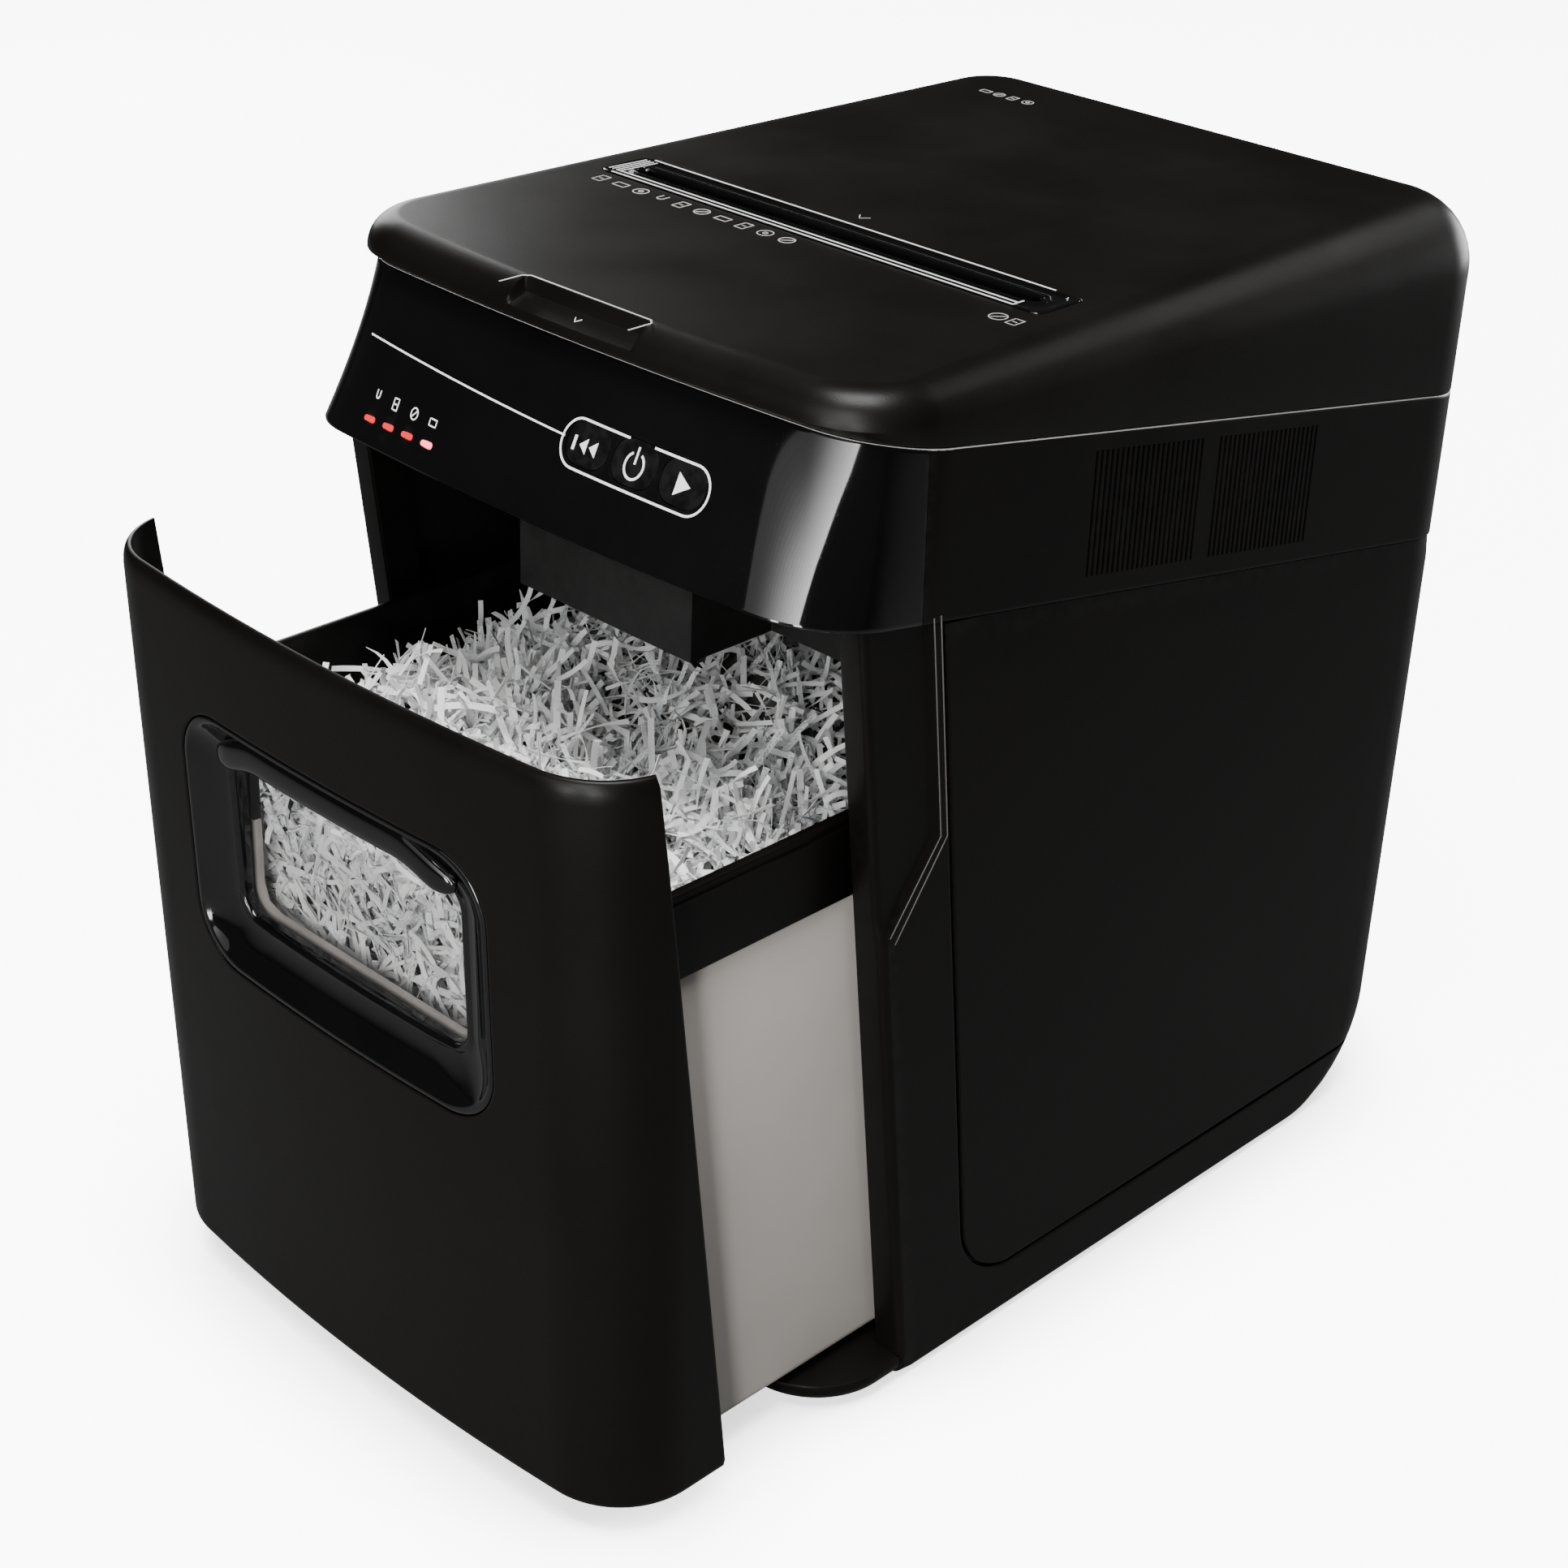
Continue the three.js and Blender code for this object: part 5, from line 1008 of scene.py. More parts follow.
def cover_lengths(z):
    """Arc lengths of the bin cover at a height: the bow, the corner, and all of the half."""
    front = cover_front(z)
    corner_x = HALF_WIDTH - FRONT_CORNER
    reach = BOW_RADIUS - FRONT_CORNER
    corner_y = front + BOW_RADIUS - math.sqrt(reach ** 2 - corner_x ** 2)
    turn = math.asin(corner_x / reach)
    rear = pillar_front(z) - 1.5
    end = np.arcsin(np.clip((rear - corner_y) / FRONT_CORNER, -1.0, 0.0))
    bow = BOW_RADIUS * turn
    arc = FRONT_CORNER * (end + math.pi / 2 - turn)
    return bow, bow + arc, bow + arc + np.maximum(rear - corner_y, 0.0), corner_y, turn


def cover_point(u, z, inset):
    """A point of the bin cover: u runs from -1 at its left rear edge through 0 at the middle
    to 1 at the right, in shares of the arc length at that height."""
    u, z, inset = np.broadcast_arrays(u, z, inset)
    bow, arc, total, corner_y, turn = cover_lengths(z)
    length = np.abs(u) * total
    bend = length / BOW_RADIUS
    angle = turn - math.pi / 2 + (length - bow) / FRONT_CORNER
    angle = np.minimum(angle, 0.0)
    corner_x = HALF_WIDTH - FRONT_CORNER
    nx = np.where(length < bow, np.sin(bend), np.cos(angle))
    ny = np.where(length < bow, -np.cos(bend), np.sin(angle))
    x = np.where(length < bow, BOW_RADIUS * nx, corner_x + FRONT_CORNER * nx)
    y = np.where(length < bow, cover_front(z) + BOW_RADIUS + BOW_RADIUS * ny, corner_y + FRONT_CORNER * ny)
    y = np.where(length > arc, y + length - arc, y)
    side = np.where(u < 0, -1.0, 1.0)
    return np.stack([(x - nx * inset) * side, y - ny * inset, z], -1)


def by_angle(outline, angles):
    """The outline's points at given angles about its own centre."""
    turn = np.arctan2(outline[:, 1], outline[:, 0])
    order = np.argsort(turn)
    turn, outline = turn[order], outline[order]
    return np.stack([np.interp(angles, turn, outline[:, k], period=2 * math.pi) for k in (0, 1)], -1)


def make_cover():
    """The bin's front: straight rays in (u, z) from the window's outline to the cover's edge,
    with the top edge rolled back, the bottom rounded and the rear edges softened."""
    up = np.linspace(COVER_LOW_Z, COVER_HIGH_Z, 90)
    over = np.linspace(-1.0, 1.0, 150)
    border = np.concatenate([
        np.stack([np.full(89, 1.0), up[:-1]], -1), np.stack([over[:0:-1], np.full(149, COVER_HIGH_Z)], -1),
        np.stack([np.full(89, -1.0), up[:0:-1]], -1), np.stack([over[:-1], np.full(149, COVER_LOW_Z)], -1),
    ])
    flat = np.stack([border[:, 0] * 205.0, border[:, 1] - BEZEL_CENTRE_Z], -1)
    outline = rounded_rect(200.6, 126.6, 28.3, 1600)
    edge = by_angle(outline, np.arctan2(flat[:, 1], flat[:, 0]))
    z_hole = edge[:, 1] + BEZEL_CENTRE_Z
    u_hole = BOW_RADIUS * np.arcsin(edge[:, 0] / BOW_RADIUS) / cover_lengths(z_hole)[2]
    reach = np.hypot((border[:, 0] - u_hole) * 205.0, border[:, 1] - z_hole)[:, None]
    near = np.array([0.0, 0.25, 0.9, 2.0, 4.0]) / reach
    far = 1 - np.array([14.0, 9.0, 6.5, 4.5, 3.0, 1.8, 0.9, 0.3, 0.0]) / reach
    share = np.concatenate([near, blend(near[:, -1:], far[:, :1], np.linspace(0, 1, 34)[None, 1:-1]), far], 1)
    u = blend(u_hole[:, None], border[:, :1], share)
    z = blend(z_hole[:, None], border[:, 1:], share)
    side = (1 - np.abs(u)) * cover_lengths(z)[2]
    to_hole = np.concatenate([[0.0, 0.25, 0.9], np.full(share.shape[1] - 3, 9.0)])
    hole_edge = np.broadcast_to(to_hole, share.shape)
    drop = np.maximum.reduce([
        roll(COVER_HIGH_Z - z, 9.0, 3.4), roll(z - COVER_LOW_Z, 4.0, 3.0),
        roll(side, 1.2), roll(hole_edge, 0.9),
    ])
    outer = cover_point(u, z, drop)
    inner = cover_point(u, z, 4.0)
    piece("bin_cover", sheet_parts(outer, inner, wrap_rows=True), SATIN, "bin", ["bin_front"],
          place_y=BIN_Y)


BEZEL_BACK_Y = -226.8
PANE_FACE_Y = -229.6


def make_bezel():
    """The window frame: rays from its outer outline to the window's, over a thin raised edge,
    down a dished band and onto a fine lip round the window."""
    count = 320
    angles = np.linspace(-math.pi, math.pi, count, endpoint=False)
    outer = by_angle(rounded_rect(200.0, 126.0, 28.0, 1600), angles)
    inner = by_angle(rounded_rect(150.0, 78.0, 11.0, 1600, (0.0, 0.0)), angles)
    inner = inner + [0.0, 2.0]
    section = np.array([
        (0.0, 1.4), (0.01, 0.5), (0.03, 0.1), (0.06, 0.0), (0.1, 0.1), (0.13, 0.7), (0.16, 1.6), (0.24, 3.2),
        (0.36, 5.2), (0.5, 7.0), (0.64, 8.4), (0.76, 9.3), (0.82, 9.5), (0.85, 9.1), (0.88, 8.7), (0.92, 8.6),
        (0.95, 9.0), (0.975, 9.9), (0.985, 11.2), (0.992, 12.6), (1.0, 13.4),
    ])
    share, depth = section[:, 0], section[:, 1]
    x = blend(outer[:, None, 0], inner[:, None, 0], share)
    z = blend(outer[:, None, 1], inner[:, None, 1], share) + BEZEL_CENTRE_Z
    face = cover_point(BOW_RADIUS * np.arcsin(x / BOW_RADIUS) / cover_lengths(z)[2], z, 0.0)[..., 1]
    front = np.stack([x, np.minimum(face + depth, PANE_FACE_Y - 0.2), z], -1)
    back = np.stack([x, np.full_like(x, BEZEL_BACK_Y), z], -1)
    piece("window_frame", sheet_parts(front, back, wrap_rows=True), GLOSS, "bin", ["window_bezel"],
          place_y=BIN_Y)


def make_grip():
    """The grip: a bar swept along the top of the window. Its section is a superellipse whose
    height and depth shrink towards both ends as sqrt(1 - t^2)."""
    t = np.concatenate([[-1.0], -np.cos(np.linspace(0.0, math.pi, 60))[1:-1], [1.0]])
    centre_x = t * 79.0
    end = np.clip((79.0 - np.abs(centre_x)) / 16.0, 0.0, 1.0)
    size = np.sqrt(np.clip(1 - (1 - end) ** 2, 0.0004, 1.0))
    turn = np.linspace(0, 2 * math.pi, 33)[:-1]
    power = 0.75
    dy = np.sign(np.cos(turn)) * np.abs(np.cos(turn)) ** power
    dz = np.sign(np.sin(turn)) * np.abs(np.sin(turn)) ** power
    z = BEZEL_CENTRE_Z + 53.0 - 8.0 * smooth(45.0, 79.0, np.abs(centre_x))
    face = cover_point(0.0 * z, z, 0.0)[:, 1] + centre_x ** 2 / 2600.0
    rings = np.stack([
        np.broadcast_to(centre_x[:, None], (len(t), len(turn))),
        face[:, None] + 5.2 + 4.6 * size[:, None] * dy, z[:, None] + 7.4 * size[:, None] * dz,
    ], -1)
    piece("window_grip", ring_parts(rings), GLOSS, "bin", (), place_y=BIN_Y, sharp=60)


# ---------------------------------------------------------------- bin

TUB_CENTRE_Y = -24.0


def tub_ring(grow, z, count=240):
    flat = rounded_rect(286.0 + 2 * grow, 400.0 + 2 * grow, 14.0 + grow, count, (0.0, TUB_CENTRE_Y))
    return at_height(flat, z)


def window_cutter():
    """A rounded prism through the front wall of the bin, where the window looks in."""
    flat = rounded_rect(148.0, 76.0, 10.0, 48, (0.0, 257.0))
    near, far = np.full(48, -400.0), np.full(48, -150.0)
    return ring_parts([np.stack([flat[:, 0], y, flat[:, 1]], -1) for y in (near, far)])


def make_tub():
    outside = [(-5.0, 17.0), (-2.4, 17.6), (-0.7, 19.2), (0.0, 22.0), (0.0, 140.0), (0.0, 260.6),
               (-0.3, 261.6), (-0.9, 262.0)]
    inside = [(-1.8, 262.0), (-2.3, 261.5), (-2.5, 260.6), (-2.5, 140.0), (-2.5, 25.0), (-4.0, 21.0),
              (-7.5, 19.5)]
    rings = [tub_ring(grow, z) for grow, z in outside + inside]
    piece("bin_body", ring_parts(rings), BIN_GREY, "bin", ["bin_tub"], place_y=BIN_Y,
          carve=[window_cutter()])
    section = [
        (-2.5, 262.4), (1.4, 262.4), (2.0, 263.0), (2.2, 264.0), (2.2, 296.0), (2.2, 297.0),
        (1.4, 297.6), (1.0, 298.2), (1.0, 299.6), (1.5, 300.0), (2.1, 300.6), (2.2, 301.4),
        (1.9, 302.3), (1.0, 302.9), (0.0, 303.0), (-1.6, 303.0),
        (-2.3, 302.6), (-2.5, 301.6), (-2.5, 290.0),
    ]
    points = np.stack([tub_ring(grow, z) for grow, z in section], 1)
    piece("bin_collar", loop_parts(points), SATIN, "bin", ["bin_rim"], place_y=BIN_Y,
          carve=[window_cutter()])


def heap_height(x, y):
    """The heap's top: a flat dome with slow waves, lower at the bin's walls and at the back."""
    waves = 5.0 * np.sin(x / 23.0 + 1.0) * np.cos(y / 31.0) + 4.0 * np.sin((x + 1.7 * y) / 17.0)
    fall = 26.0 * smooth(40.0, 170.0, y)
    near_wall = 12.0 * smooth(100.0, 138.0, np.abs(x)) + 6.0 * (1 - smooth(-219.0, -195.0, y))
    return 276.0 + waves - fall - near_wall


def strips(count, centres, heading, pitch, bank):
    """Curled paper strips as closed ribbons: a circular arc of length L and radius R from its
    middle, in a plane turned by heading, pitch and bank. Each is 6 rings of 4 points."""
    length = rng.uniform(12.0, 36.0, count)
    width = rng.uniform(1.9, 3.2, count)
    curve = rng.uniform(-1.0, 1.0, count) * rng.uniform(0.1, 1.0, count) * 2.2
    curve = np.where(np.abs(curve) < 0.15, 0.15, curve)
    twist = rng.normal(0.0, 0.5, count)
    t = np.linspace(-0.5, 0.5, 6)[None, :]
    radius = (length / curve)[:, None]
    angle = t * curve[:, None]
    along = radius * np.sin(angle)
    lift = radius * (1 - np.cos(angle))
    roll_angle = twist[:, None] * t * 2 + bank[:, None]
    half = width[:, None] / 2
    thin = 0.11
    ring = []
    for a, b in ((-1, -1), (1, -1), (1, 1), (-1, 1)):
        side = a * half * np.cos(roll_angle) - b * thin * np.sin(roll_angle)
        up = a * half * np.sin(roll_angle) + b * thin * np.cos(roll_angle)
        ring.append(np.stack([along - up * np.sin(angle), side, lift + up * np.cos(angle)], -1))
    local = np.stack(ring, 2)
    cp, sp = np.cos(pitch), np.sin(pitch)
    ch, sh = np.cos(heading), np.sin(heading)
    x, y, z = local[..., 0], local[..., 1], local[..., 2]
    spread = (slice(None), None, None)
    x2 = x * cp[spread] - z * sp[spread]
    z2 = x * sp[spread] + z * cp[spread]
    x3 = x2 * ch[spread] - y * sh[spread]
    y3 = x2 * sh[spread] + y * ch[spread]
    points = np.stack([x3, y3, z2], -1) + centres[:, None, None, :]
    return points


def shreds(name, points):
    """One mesh of many ribbons, kept inside the bin's walls, with a tone and a place along
    the strip for every point."""
    count = len(points)
    low = np.array([-139.5, -220.5, 22.0])
    high = np.array([139.5, 172.0, 400.0])
    points = np.clip(points, low, high)
    cells = quads(6, 4, wrap_cols=True).reshape(-1, 4)
    cells = np.concatenate([cells, [[0, 1, 2, 3]], [[23, 22, 21, 20]]])
    faces = (cells[None] + 24 * np.arange(count)[:, None, None]).reshape(-1, 4)
    mesh = bpy.data.meshes.new(name)
    flat = points.reshape(-1, 3)
    mesh.from_pydata(((flat + [0.0, BIN_Y, 0.0]) * MM).tolist(), [], faces.tolist())
    tone = np.repeat(rng.uniform(0.0, 1.0, count), 24)
    mesh.attributes.new("tone", "FLOAT", "POINT").data.foreach_set("value", tone)
    along = np.zeros((count, 24, 3))
    along[..., 0] = np.repeat(np.linspace(-0.5, 0.5, 6), 4)[None] * 0.025
    along[..., 1] = np.tile([0.0, 0.0035, 0.0035, 0.0], 6)[None]
    along[..., 2] = rng.uniform(0.0, 50.0, count)[:, None]
    mesh.attributes.new("along", "FLOAT_VECTOR", "POINT").data.foreach_set("vector", along.ravel())
    outward(mesh)
    obj = bpy.data.objects.new(name, mesh)
    bpy.context.scene.collection.objects.link(obj)
    mesh.materials.append(PAPER)
    shade(mesh, 50)
    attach(obj, "bin")
    return obj


# Number of strips, the span of y they lie in, and how far they stand off the heap.
STRIP_LAYERS = ((2700, -218.0, -60.0, 9.0), (1900, -218.0, -20.0, 14.0), (1400, -30.0, 168.0, 9.0))
WINDOW_STRIPS = 1150


def make_paper():
    """Shredded paper: a lumpy core coloured dark as painted shade between the strips, loose strips over it,
    and strips pressed to the window.
    """
    xs = np.linspace(-138.0, 138.0, 70)
    ys = np.linspace(-196.0, 170.0, 90)
    x, y = np.meshgrid(xs, ys, indexing="ij")
    rough = 3.0 * rng.normal(size=x.shape)
    top = heap_height(x, y) - 9.0 + rough
    floor = blend(246.0, 60.0, smooth(-196.0, -150.0, y))
    core = sheet_parts(np.stack([x, y, top], -1), np.stack([x, y, np.minimum(floor, top - 4.0)], -1))
    # The core's dark colour is painted shade in the gaps between the strips.
    heap = piece("paper_core", core, PAPER_PAINTED_SHADE, "bin", place_y=BIN_Y, sharp=70)
    tone = rng.uniform(0.0, 0.6, len(heap.data.vertices))
    heap.data.attributes.new("tone", "FLOAT", "POINT").data.foreach_set("value", tone)
    for number, (count, y0, y1, spread) in enumerate(STRIP_LAYERS):
        cx = rng.uniform(-132.0, 132.0, count)
        cy = rng.uniform(y0, y1, count)
        cz = heap_height(cx, cy) + np.abs(rng.normal(0.0, spread, count)) * 0.8 - 6.0
        heading = rng.uniform(0, 2 * math.pi, count)
        pitch = rng.normal(0.5, 0.6, count)
        bank = rng.normal(0.0, 0.7, count)
        shreds(f"paper_strips_{number + 1}", strips(count, np.stack([cx, cy, cz], -1), heading, pitch, bank))
    count = WINDOW_STRIPS
    cx = rng.uniform(-90.0, 90.0, count)
    cz = 192.0 + 100.0 * rng.uniform(0.0, 1.0, count) ** 0.8 - 6.0 * np.sin(cx / 26.0)
    cy = -215.0 + np.abs(rng.normal(0.0, 7.0, count))
    pitch = rng.uniform(-1.5, 1.5, count)
    heading = rng.normal(0.0, 0.18, count)
    bank = rng.normal(math.pi / 2, 0.5, count)
    points = strips(count, np.stack([cx, cy, cz], -1), heading, pitch, bank)
    shreds("paper_strips_window", points)


# ---------------------------------------------------------------- printed marks and painted highlight lines

def stroke(path, width, place, closed=False, thick=0.12):
    """A printed line or a painted highlight line as a thin closed plate: the path moved both ways along its
    own normal by half the width, set down by place(u, v, lift)."""
    path = np.asarray(path, float)
    if closed:
        step = np.roll(path, -1, 0) - np.roll(path, 1, 0)
    else:
        step = np.gradient(path, axis=0)
    step = step / np.linalg.norm(step, axis=1, keepdims=True)
    normal = np.stack([-step[:, 1], step[:, 0]], -1)
    sides = np.stack([path - normal * width / 2, path + normal * width / 2], 1)
    top = place(sides[..., 0], sides[..., 1], thick)
    low = place(sides[..., 0], sides[..., 1], -0.05)
    return sheet_parts(top, low, wrap_rows=closed)


def patch(corners, place, thick=0.12):
    """A printed quadrilateral as a thin closed plate."""
    corners = np.asarray(corners, float)
    grid = np.array([[corners[0], corners[1]], [corners[3], corners[2]]])
    top = place(grid[..., 0], grid[..., 1], thick)
    low = place(grid[..., 0], grid[..., 1], -0.05)
    return sheet_parts(top, low)


def arc_path(x, y, radius, start, end, count=28):
    turn = np.radians(np.linspace(start, end, count))
    return np.stack([x + radius * np.cos(turn), y + radius * np.sin(turn)], -1)


def line_path(*points, step=2.0):
    """Straight runs between points, with extra points so that the line follows a curve."""
    path = []
    for a, b in zip(points[:-1], points[1:]):
        a, b = np.asarray(a, float), np.asarray(b, float)
        count = max(2, int(np.linalg.norm(b - a) / step))
        path += [blend(a, b, t) for t in np.linspace(0, 1, count, endpoint=False)]
    path.append(np.asarray(points[-1], float))
    return np.array(path)


def lid_place(x, y, lift):
    return np.stack([x, y, TOP_Z + lift + 0 * x], -1)


def frame_place(x, y, lift):
    return np.stack([x, y, TOP_Z + 0.58 + lift + 0 * x], -1)


def face_place(x, z, lift):
    return face_point(x, z, lift)


def pill_path(left, right, middle, half, slope):
    """A stadium outline in (x, z) that tilts by slope along x."""
    lower = line_path((left + half, -half), (right - half, -half))
    upper = line_path((right - half, half), (left + half, half))
    path = np.concatenate([lower, arc_path(right - half, 0, half, -90, 90, 20)[1:-1], upper,
                           arc_path(left + half, 0, half, 90, 270, 20)[1:-1]])
    return path + np.stack([0 * path[:, 0], middle + slope * path[:, 0]], -1)


def sheet_icon(x, y, size, kind):
    """A small generic pictogram: a page, a card, a disc, a clip, an arrow or a crossed ring."""
    s = size / 2
    ring = arc_path(x, y, s, 0, 352, 26)

    def frame_path(across, up):
        return line_path((x - across, y - up), (x + across, y - up), (x + across, y + up),
                         (x - across, y + up), step=1.0)

    page = frame_path(0.7 * s, s)
    shapes = {
        "page": [(page, True), (line_path((x - 0.35 * s, y), (x + 0.35 * s, y), step=0.8), False)],
        "card": [(frame_path(s, 0.6 * s), True)],
        "disc": [(ring, True), (arc_path(x, y, s * 0.3, 0, 345, 14), True)],
        "ring": [(ring, True),
                 (line_path((x - 0.6 * s, y - 0.6 * s), (x + 0.6 * s, y + 0.6 * s), step=0.8), False)],
        "clip": [(arc_path(x, y, s * 0.5, 180, 360, 12), False),
                 (line_path((x - 0.5 * s, y), (x - 0.5 * s, y + s), step=0.8), False),
                 (line_path((x + 0.5 * s, y), (x + 0.5 * s, y + s), step=0.8), False)],
        "arrow": [(line_path((x - 0.8 * s, y), (x, y - s), (x + 0.8 * s, y), step=0.8), False)],
    }
    return shapes[kind]


def make_marks():
    parts = [stroke(line_path((-126.5, 443.6), (11.0, 439.2)), 0.75, face_place)]
    pill = pill_path(10.0, 93.0, 438.6, 9.4, -0.02)
    gap_low, gap_high = 46.0, 58.0
    keep = ~((pill[:, 0] > gap_low) & (pill[:, 0] < gap_high) & (pill[:, 1] > 440.0))
    first = int(np.argmax(~keep))
    pill = np.roll(pill, -first, 0)
    keep = np.roll(keep, -first)
    parts.append(stroke(pill[keep], 0.95, face_place))
    icons = [(-108.0, "clip"), (-94.5, "page"), (-80.5, "ring"), (-67.0, "card")]
    for x, kind in icons:
        for path, closed in sheet_icon(x, 423.0, 4.6, kind):
            parts.append(stroke(path, 0.6, face_place, closed))
    piece("panel_print", join_parts(parts), INK, "cabinet")

    reverse = [patch([(16.6, 435.4), (16.6 + 1.5, 435.4), (16.6 + 1.5, 441.0), (16.6, 441.0)], face_place)]
    for x in (20.4, 26.0):
        arrow = [(x, 438.2), (x + 4.2, 435.2), (x + 4.2, 438.2), (x + 4.2, 441.2)]
        reverse.append(patch(arrow, face_place))
    piece("reverse_mark", join_parts(reverse), INK, "reverse_button")
    power = [stroke(arc_path(52.0, 438.0, 5.0, 118, 422, 40), 1.0, face_place),
             stroke(line_path((52.0, 438.6), (52.0, 445.2), step=1.0), 1.0, face_place)]
    piece("power_mark", join_parts(power), INK, "power_button")
    forward = [patch([(75.6, 433.2), (79.3, 435.4), (79.3, 439.8), (75.6, 442.0)], face_place),
               patch([(79.3, 435.4), (83.2, 437.6), (83.2, 437.6001), (79.3, 439.8)], face_place)]
    piece("forward_mark", join_parts(forward), INK, "forward_button")

    lines = []
    for y in (SLOT_Y - 14.0, SLOT_Y + 13.6, SLOT_Y - 10.6):
        lines.append(stroke(line_path((-126.0, y), (119.0, y)), 0.9, frame_place))
    lines.append(stroke(line_path((119.0, SLOT_Y - 14.0), (119.0, SLOT_Y - 7.0)), 0.9, frame_place))
    for x in np.arange(-131.0, -123.0, 2.4):
        lines.append(stroke(line_path((x, SLOT_Y - 11.0), (x + 2.0, SLOT_Y + 11.0)), 0.7, frame_place))
    piece("slot_lines", join_parts(lines), INK, "lid")
    # The pale line round the notch is a painted highlight along its edge; the arrow on the notch floor is a
    # printed mark in the same finish.
    notch = line_path((-39.4, -222.0), (-39.4, -209.5), (-36.5, -206.8), (36.5, -206.8),
                      (39.4, -209.5), (39.4, -222.0))
    lip = [stroke(notch, 0.8, lid_place)]
    for path, closed in sheet_icon(0.0, -213.0, 5.0, "arrow"):
        lip.append(stroke(path, 0.5, lambda x, y, lift: np.stack([x, y, notch_floor(y) + lift], -1), closed))
    piece("notch_edge", join_parts(lip), BRIGHT_PAINTED_HIGHLIGHT, "lid")
    for sign, side in ((1.0, "right"), (-1.0, "left")):
        def side_place(y, z, lift):
            return np.stack([sign * (HALF_WIDTH + lift) + 0 * y, y, z], -1)

        # Pale lines along the grip relief's edges: painted highlights.
        edges = []
        for back in (1.2, 5.4):
            top = pillar_front(392.0) + RELIEF_WIDTH + back
            path = line_path((top, 392.0), (pillar_front(288.0) + RELIEF_WIDTH + back, 288.0 - 0.3 * back),
                             (pillar_front(250.0) + 5.0 + 0.8 * back, 250.0 - back), step=3.0)
            edges.append(stroke(path, 0.6, side_place))
        piece(f"relief_edge_{side}", join_parts(edges), DIM_PAINTED_HIGHLIGHT, "cabinet")

    lid = []
    kinds = ["page", "card", "disc", "clip", "page", "ring", "card", "page", "disc", "ring"]
    for number, kind in enumerate(kinds):
        share = number / (len(kinds) - 1)
        x, y = blend(-122.0, -2.0, share), blend(-90.0, -90.0, share)
        for path, closed in sheet_icon(x, y, 7.4, kind):
            lid.append(stroke(path, 0.65, lid_place, closed))
    for x, y, size, kind in ((-4.0, -38.0, 8.0, "arrow"), (124.0, -95.0, 8.0, "ring"),
                             (133.0, -95.0, 7.0, "page"), (-112.0, 168.0, 6.0, "card"),
                             (-103.0, 168.0, 6.0, "ring"), (-94.0, 168.0, 6.0, "page"),
                             (-84.0, 168.0, 6.0, "disc")):
        for path, closed in sheet_icon(x, y, size, kind):
            lid.append(stroke(path, 0.6, lid_place, closed))
    piece("lid_print", join_parts(lid), LID_INK, "lid")


# ---------------------------------------------------------------- stage

def make_camera():
    """Looks down at the front right corner: turned 43.6 degrees round the machine, 28.2
    degrees above the floor, and rolled by 2.2 degrees."""
    azimuth, elevation, tilt = map(math.radians, (43.6, 28.161, 2.173))
    flat = math.cos(elevation)
    forward = Vector((-math.sin(azimuth) * flat, math.cos(azimuth) * flat, -math.sin(elevation)))
    right = Vector((math.cos(azimuth), math.sin(azimuth), 0.0))
    up = right.cross(forward)
    aim = Vector((10.4, -91.9 + MACHINE_Y, 226.93)) * MM
    rolled_right = right * math.cos(tilt) + up * math.sin(tilt)
    rolled_up = up * math.cos(tilt) - right * math.sin(tilt)
    camera = bpy.data.cameras.new("camera")
    camera.sensor_width = 36.0
    camera.lens = 66.675
    camera.clip_end = 50.0
    obj = bpy.data.objects.new("camera", camera)
    turn = Matrix((rolled_right, rolled_up, -forward)).transposed()
    obj.matrix_world = Matrix.Translation(aim - forward * 1.37995) @ turn.to_4x4()
    bpy.context.scene.collection.objects.link(obj)
    bpy.context.scene.camera = obj


def area_light(name, place, target, size, power, colour=(1.0, 1.0, 1.0)):
    light = bpy.data.lights.new(name, "AREA")
    light.shape = "RECTANGLE"
    light.size, light.size_y = size
    light.energy = power
    light.color = colour
    obj = bpy.data.objects.new(name, light)
    aim = Vector(target) - Vector(place)
    obj.matrix_world = Matrix.Translation(place) @ aim.to_track_quat("-Z", "Y").to_matrix().to_4x4()
    bpy.context.scene.collection.objects.link(obj)


# Narrow cards side by side, brighter to the right, so the gloss corner shows a fading band.
FRONT_CARDS = 19


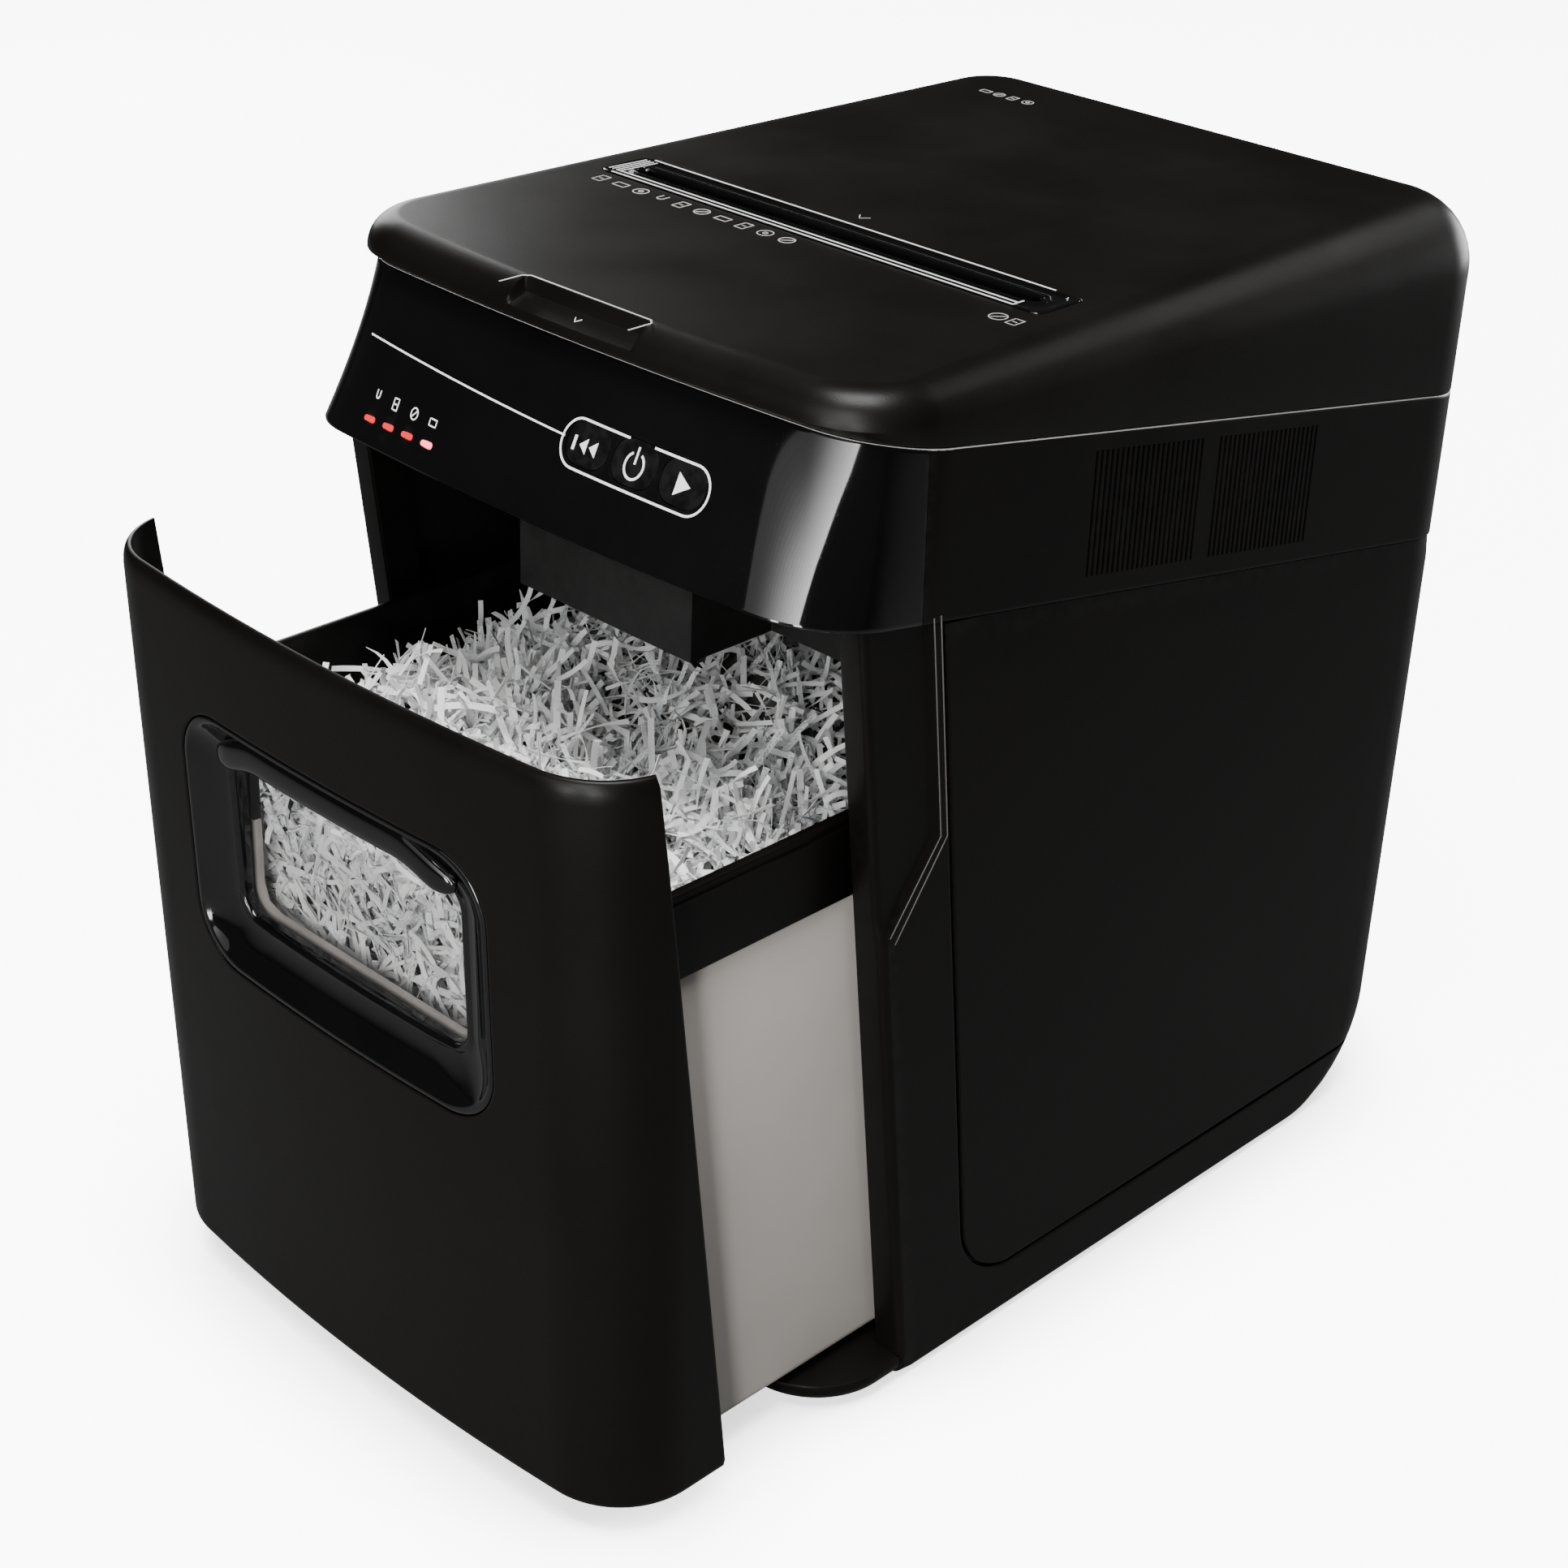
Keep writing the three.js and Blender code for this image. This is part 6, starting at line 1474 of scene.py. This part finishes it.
def make_stage():
    edge = np.array([[-9.0, -9.0, 0.0], [9.0, -9.0, 0.0], [9.0, 9.0, 0.0], [-9.0, 9.0, 0.0]])
    mesh = bpy.data.meshes.new("floor")
    mesh.from_pydata(edge.tolist(), [], [[0, 1, 2, 3]])
    floor = bpy.data.objects.new("floor", mesh)
    bpy.context.scene.collection.objects.link(floor)
    material, tree, shader = new_material("floor_white", Roughness=0.9, Specular_IOR_Level=0.1)
    seen = tree.nodes.new("ShaderNodeLightPath").outputs["Is Camera Ray"]
    place = tree.nodes.new("ShaderNodeTexCoord").outputs["Object"]
    cloud = node(tree, "ShaderNodeTexNoise", [("Vector", place)], in_Scale=0.6)
    white = mix_colour(tree, cloud.outputs[0], (0.9, 0.9, 0.9), (0.93, 0.93, 0.93))
    tree.links.new(mix_colour(tree, seen, (0.14, 0.14, 0.14), white), shader.inputs["Base Color"])
    shader.inputs["Emission Color"].default_value = (1.0, 1.0, 1.0, 1.0)
    shade_near = node(tree, "ShaderNodeAmbientOcclusion", in_Distance=0.07)
    glow = ramp(tree, shade_near.outputs["AO"], 0.35, 1.0, 1.6, 8.0)
    tree.links.new(maths(tree, "MULTIPLY", seen, glow), shader.inputs["Emission Strength"])
    mesh.materials.append(material)

    world = bpy.data.worlds.new("studio")
    world.use_nodes = True
    tree = world.node_tree
    seen = tree.nodes.new("ShaderNodeLightPath").outputs["Is Camera Ray"]
    strength = maths(tree, "MULTIPLY_ADD", seen, 13.0, 0.035)
    tree.nodes["Background"].inputs["Color"].default_value = (1.0, 1.0, 1.0, 1.0)
    tree.links.new(strength, tree.nodes["Background"].inputs["Strength"])
    bpy.context.scene.world = world

    middle = Vector((0.0, -0.1, 0.35))
    area_light("overhead", (0.35, -0.5, 2.4), middle, (1.1, 1.1), 105.0)
    for number in range(FRONT_CARDS):
        turn = math.radians(-22.4 + 3.3 * number)
        power = 0.5 + 9.5 * (number / (FRONT_CARDS - 1.0)) ** 2.4
        place = middle + 2.3 * Vector((math.sin(turn), -math.cos(turn), 0.4))
        area_light(f"front_card_{number + 1}", place, middle, (0.135, 1.3), power)
    for name, turn, power in (("low_front_card", 14.0, 12.0), ("low_right_card", 38.0, 14.0)):
        turn = math.radians(turn)
        place = Vector((1.7 * math.sin(turn), -0.15 - 1.7 * math.cos(turn), 0.3))
        area_light(name, place, (0.0, -0.15, 0.25), (0.22, 0.55), power)
    area_light("left_card", (-2.2, 0.9, 1.0), middle, (0.9, 1.2), 24.0)
    area_light("back_card", (0.6, 2.2, 1.9), middle, (1.6, 0.8), 9.0)
    area_light("low_back_card", (0.2, 2.6, 0.4), middle, (1.2, 0.8), 30.0)


make_head()
make_lid()
make_slot_insert()
make_seam_painted_highlight()
for sign, side in ((1.0, "right"), (-1.0, "left")):
    make_side_panel(sign, side)
    make_side_frame(sign, side)
    make_side_liner(sign, side)
make_rear_panel()
make_base()
make_cover()
make_bezel()
make_grip()
make_tub()
make_paper()
make_marks()
make_camera()
make_stage()
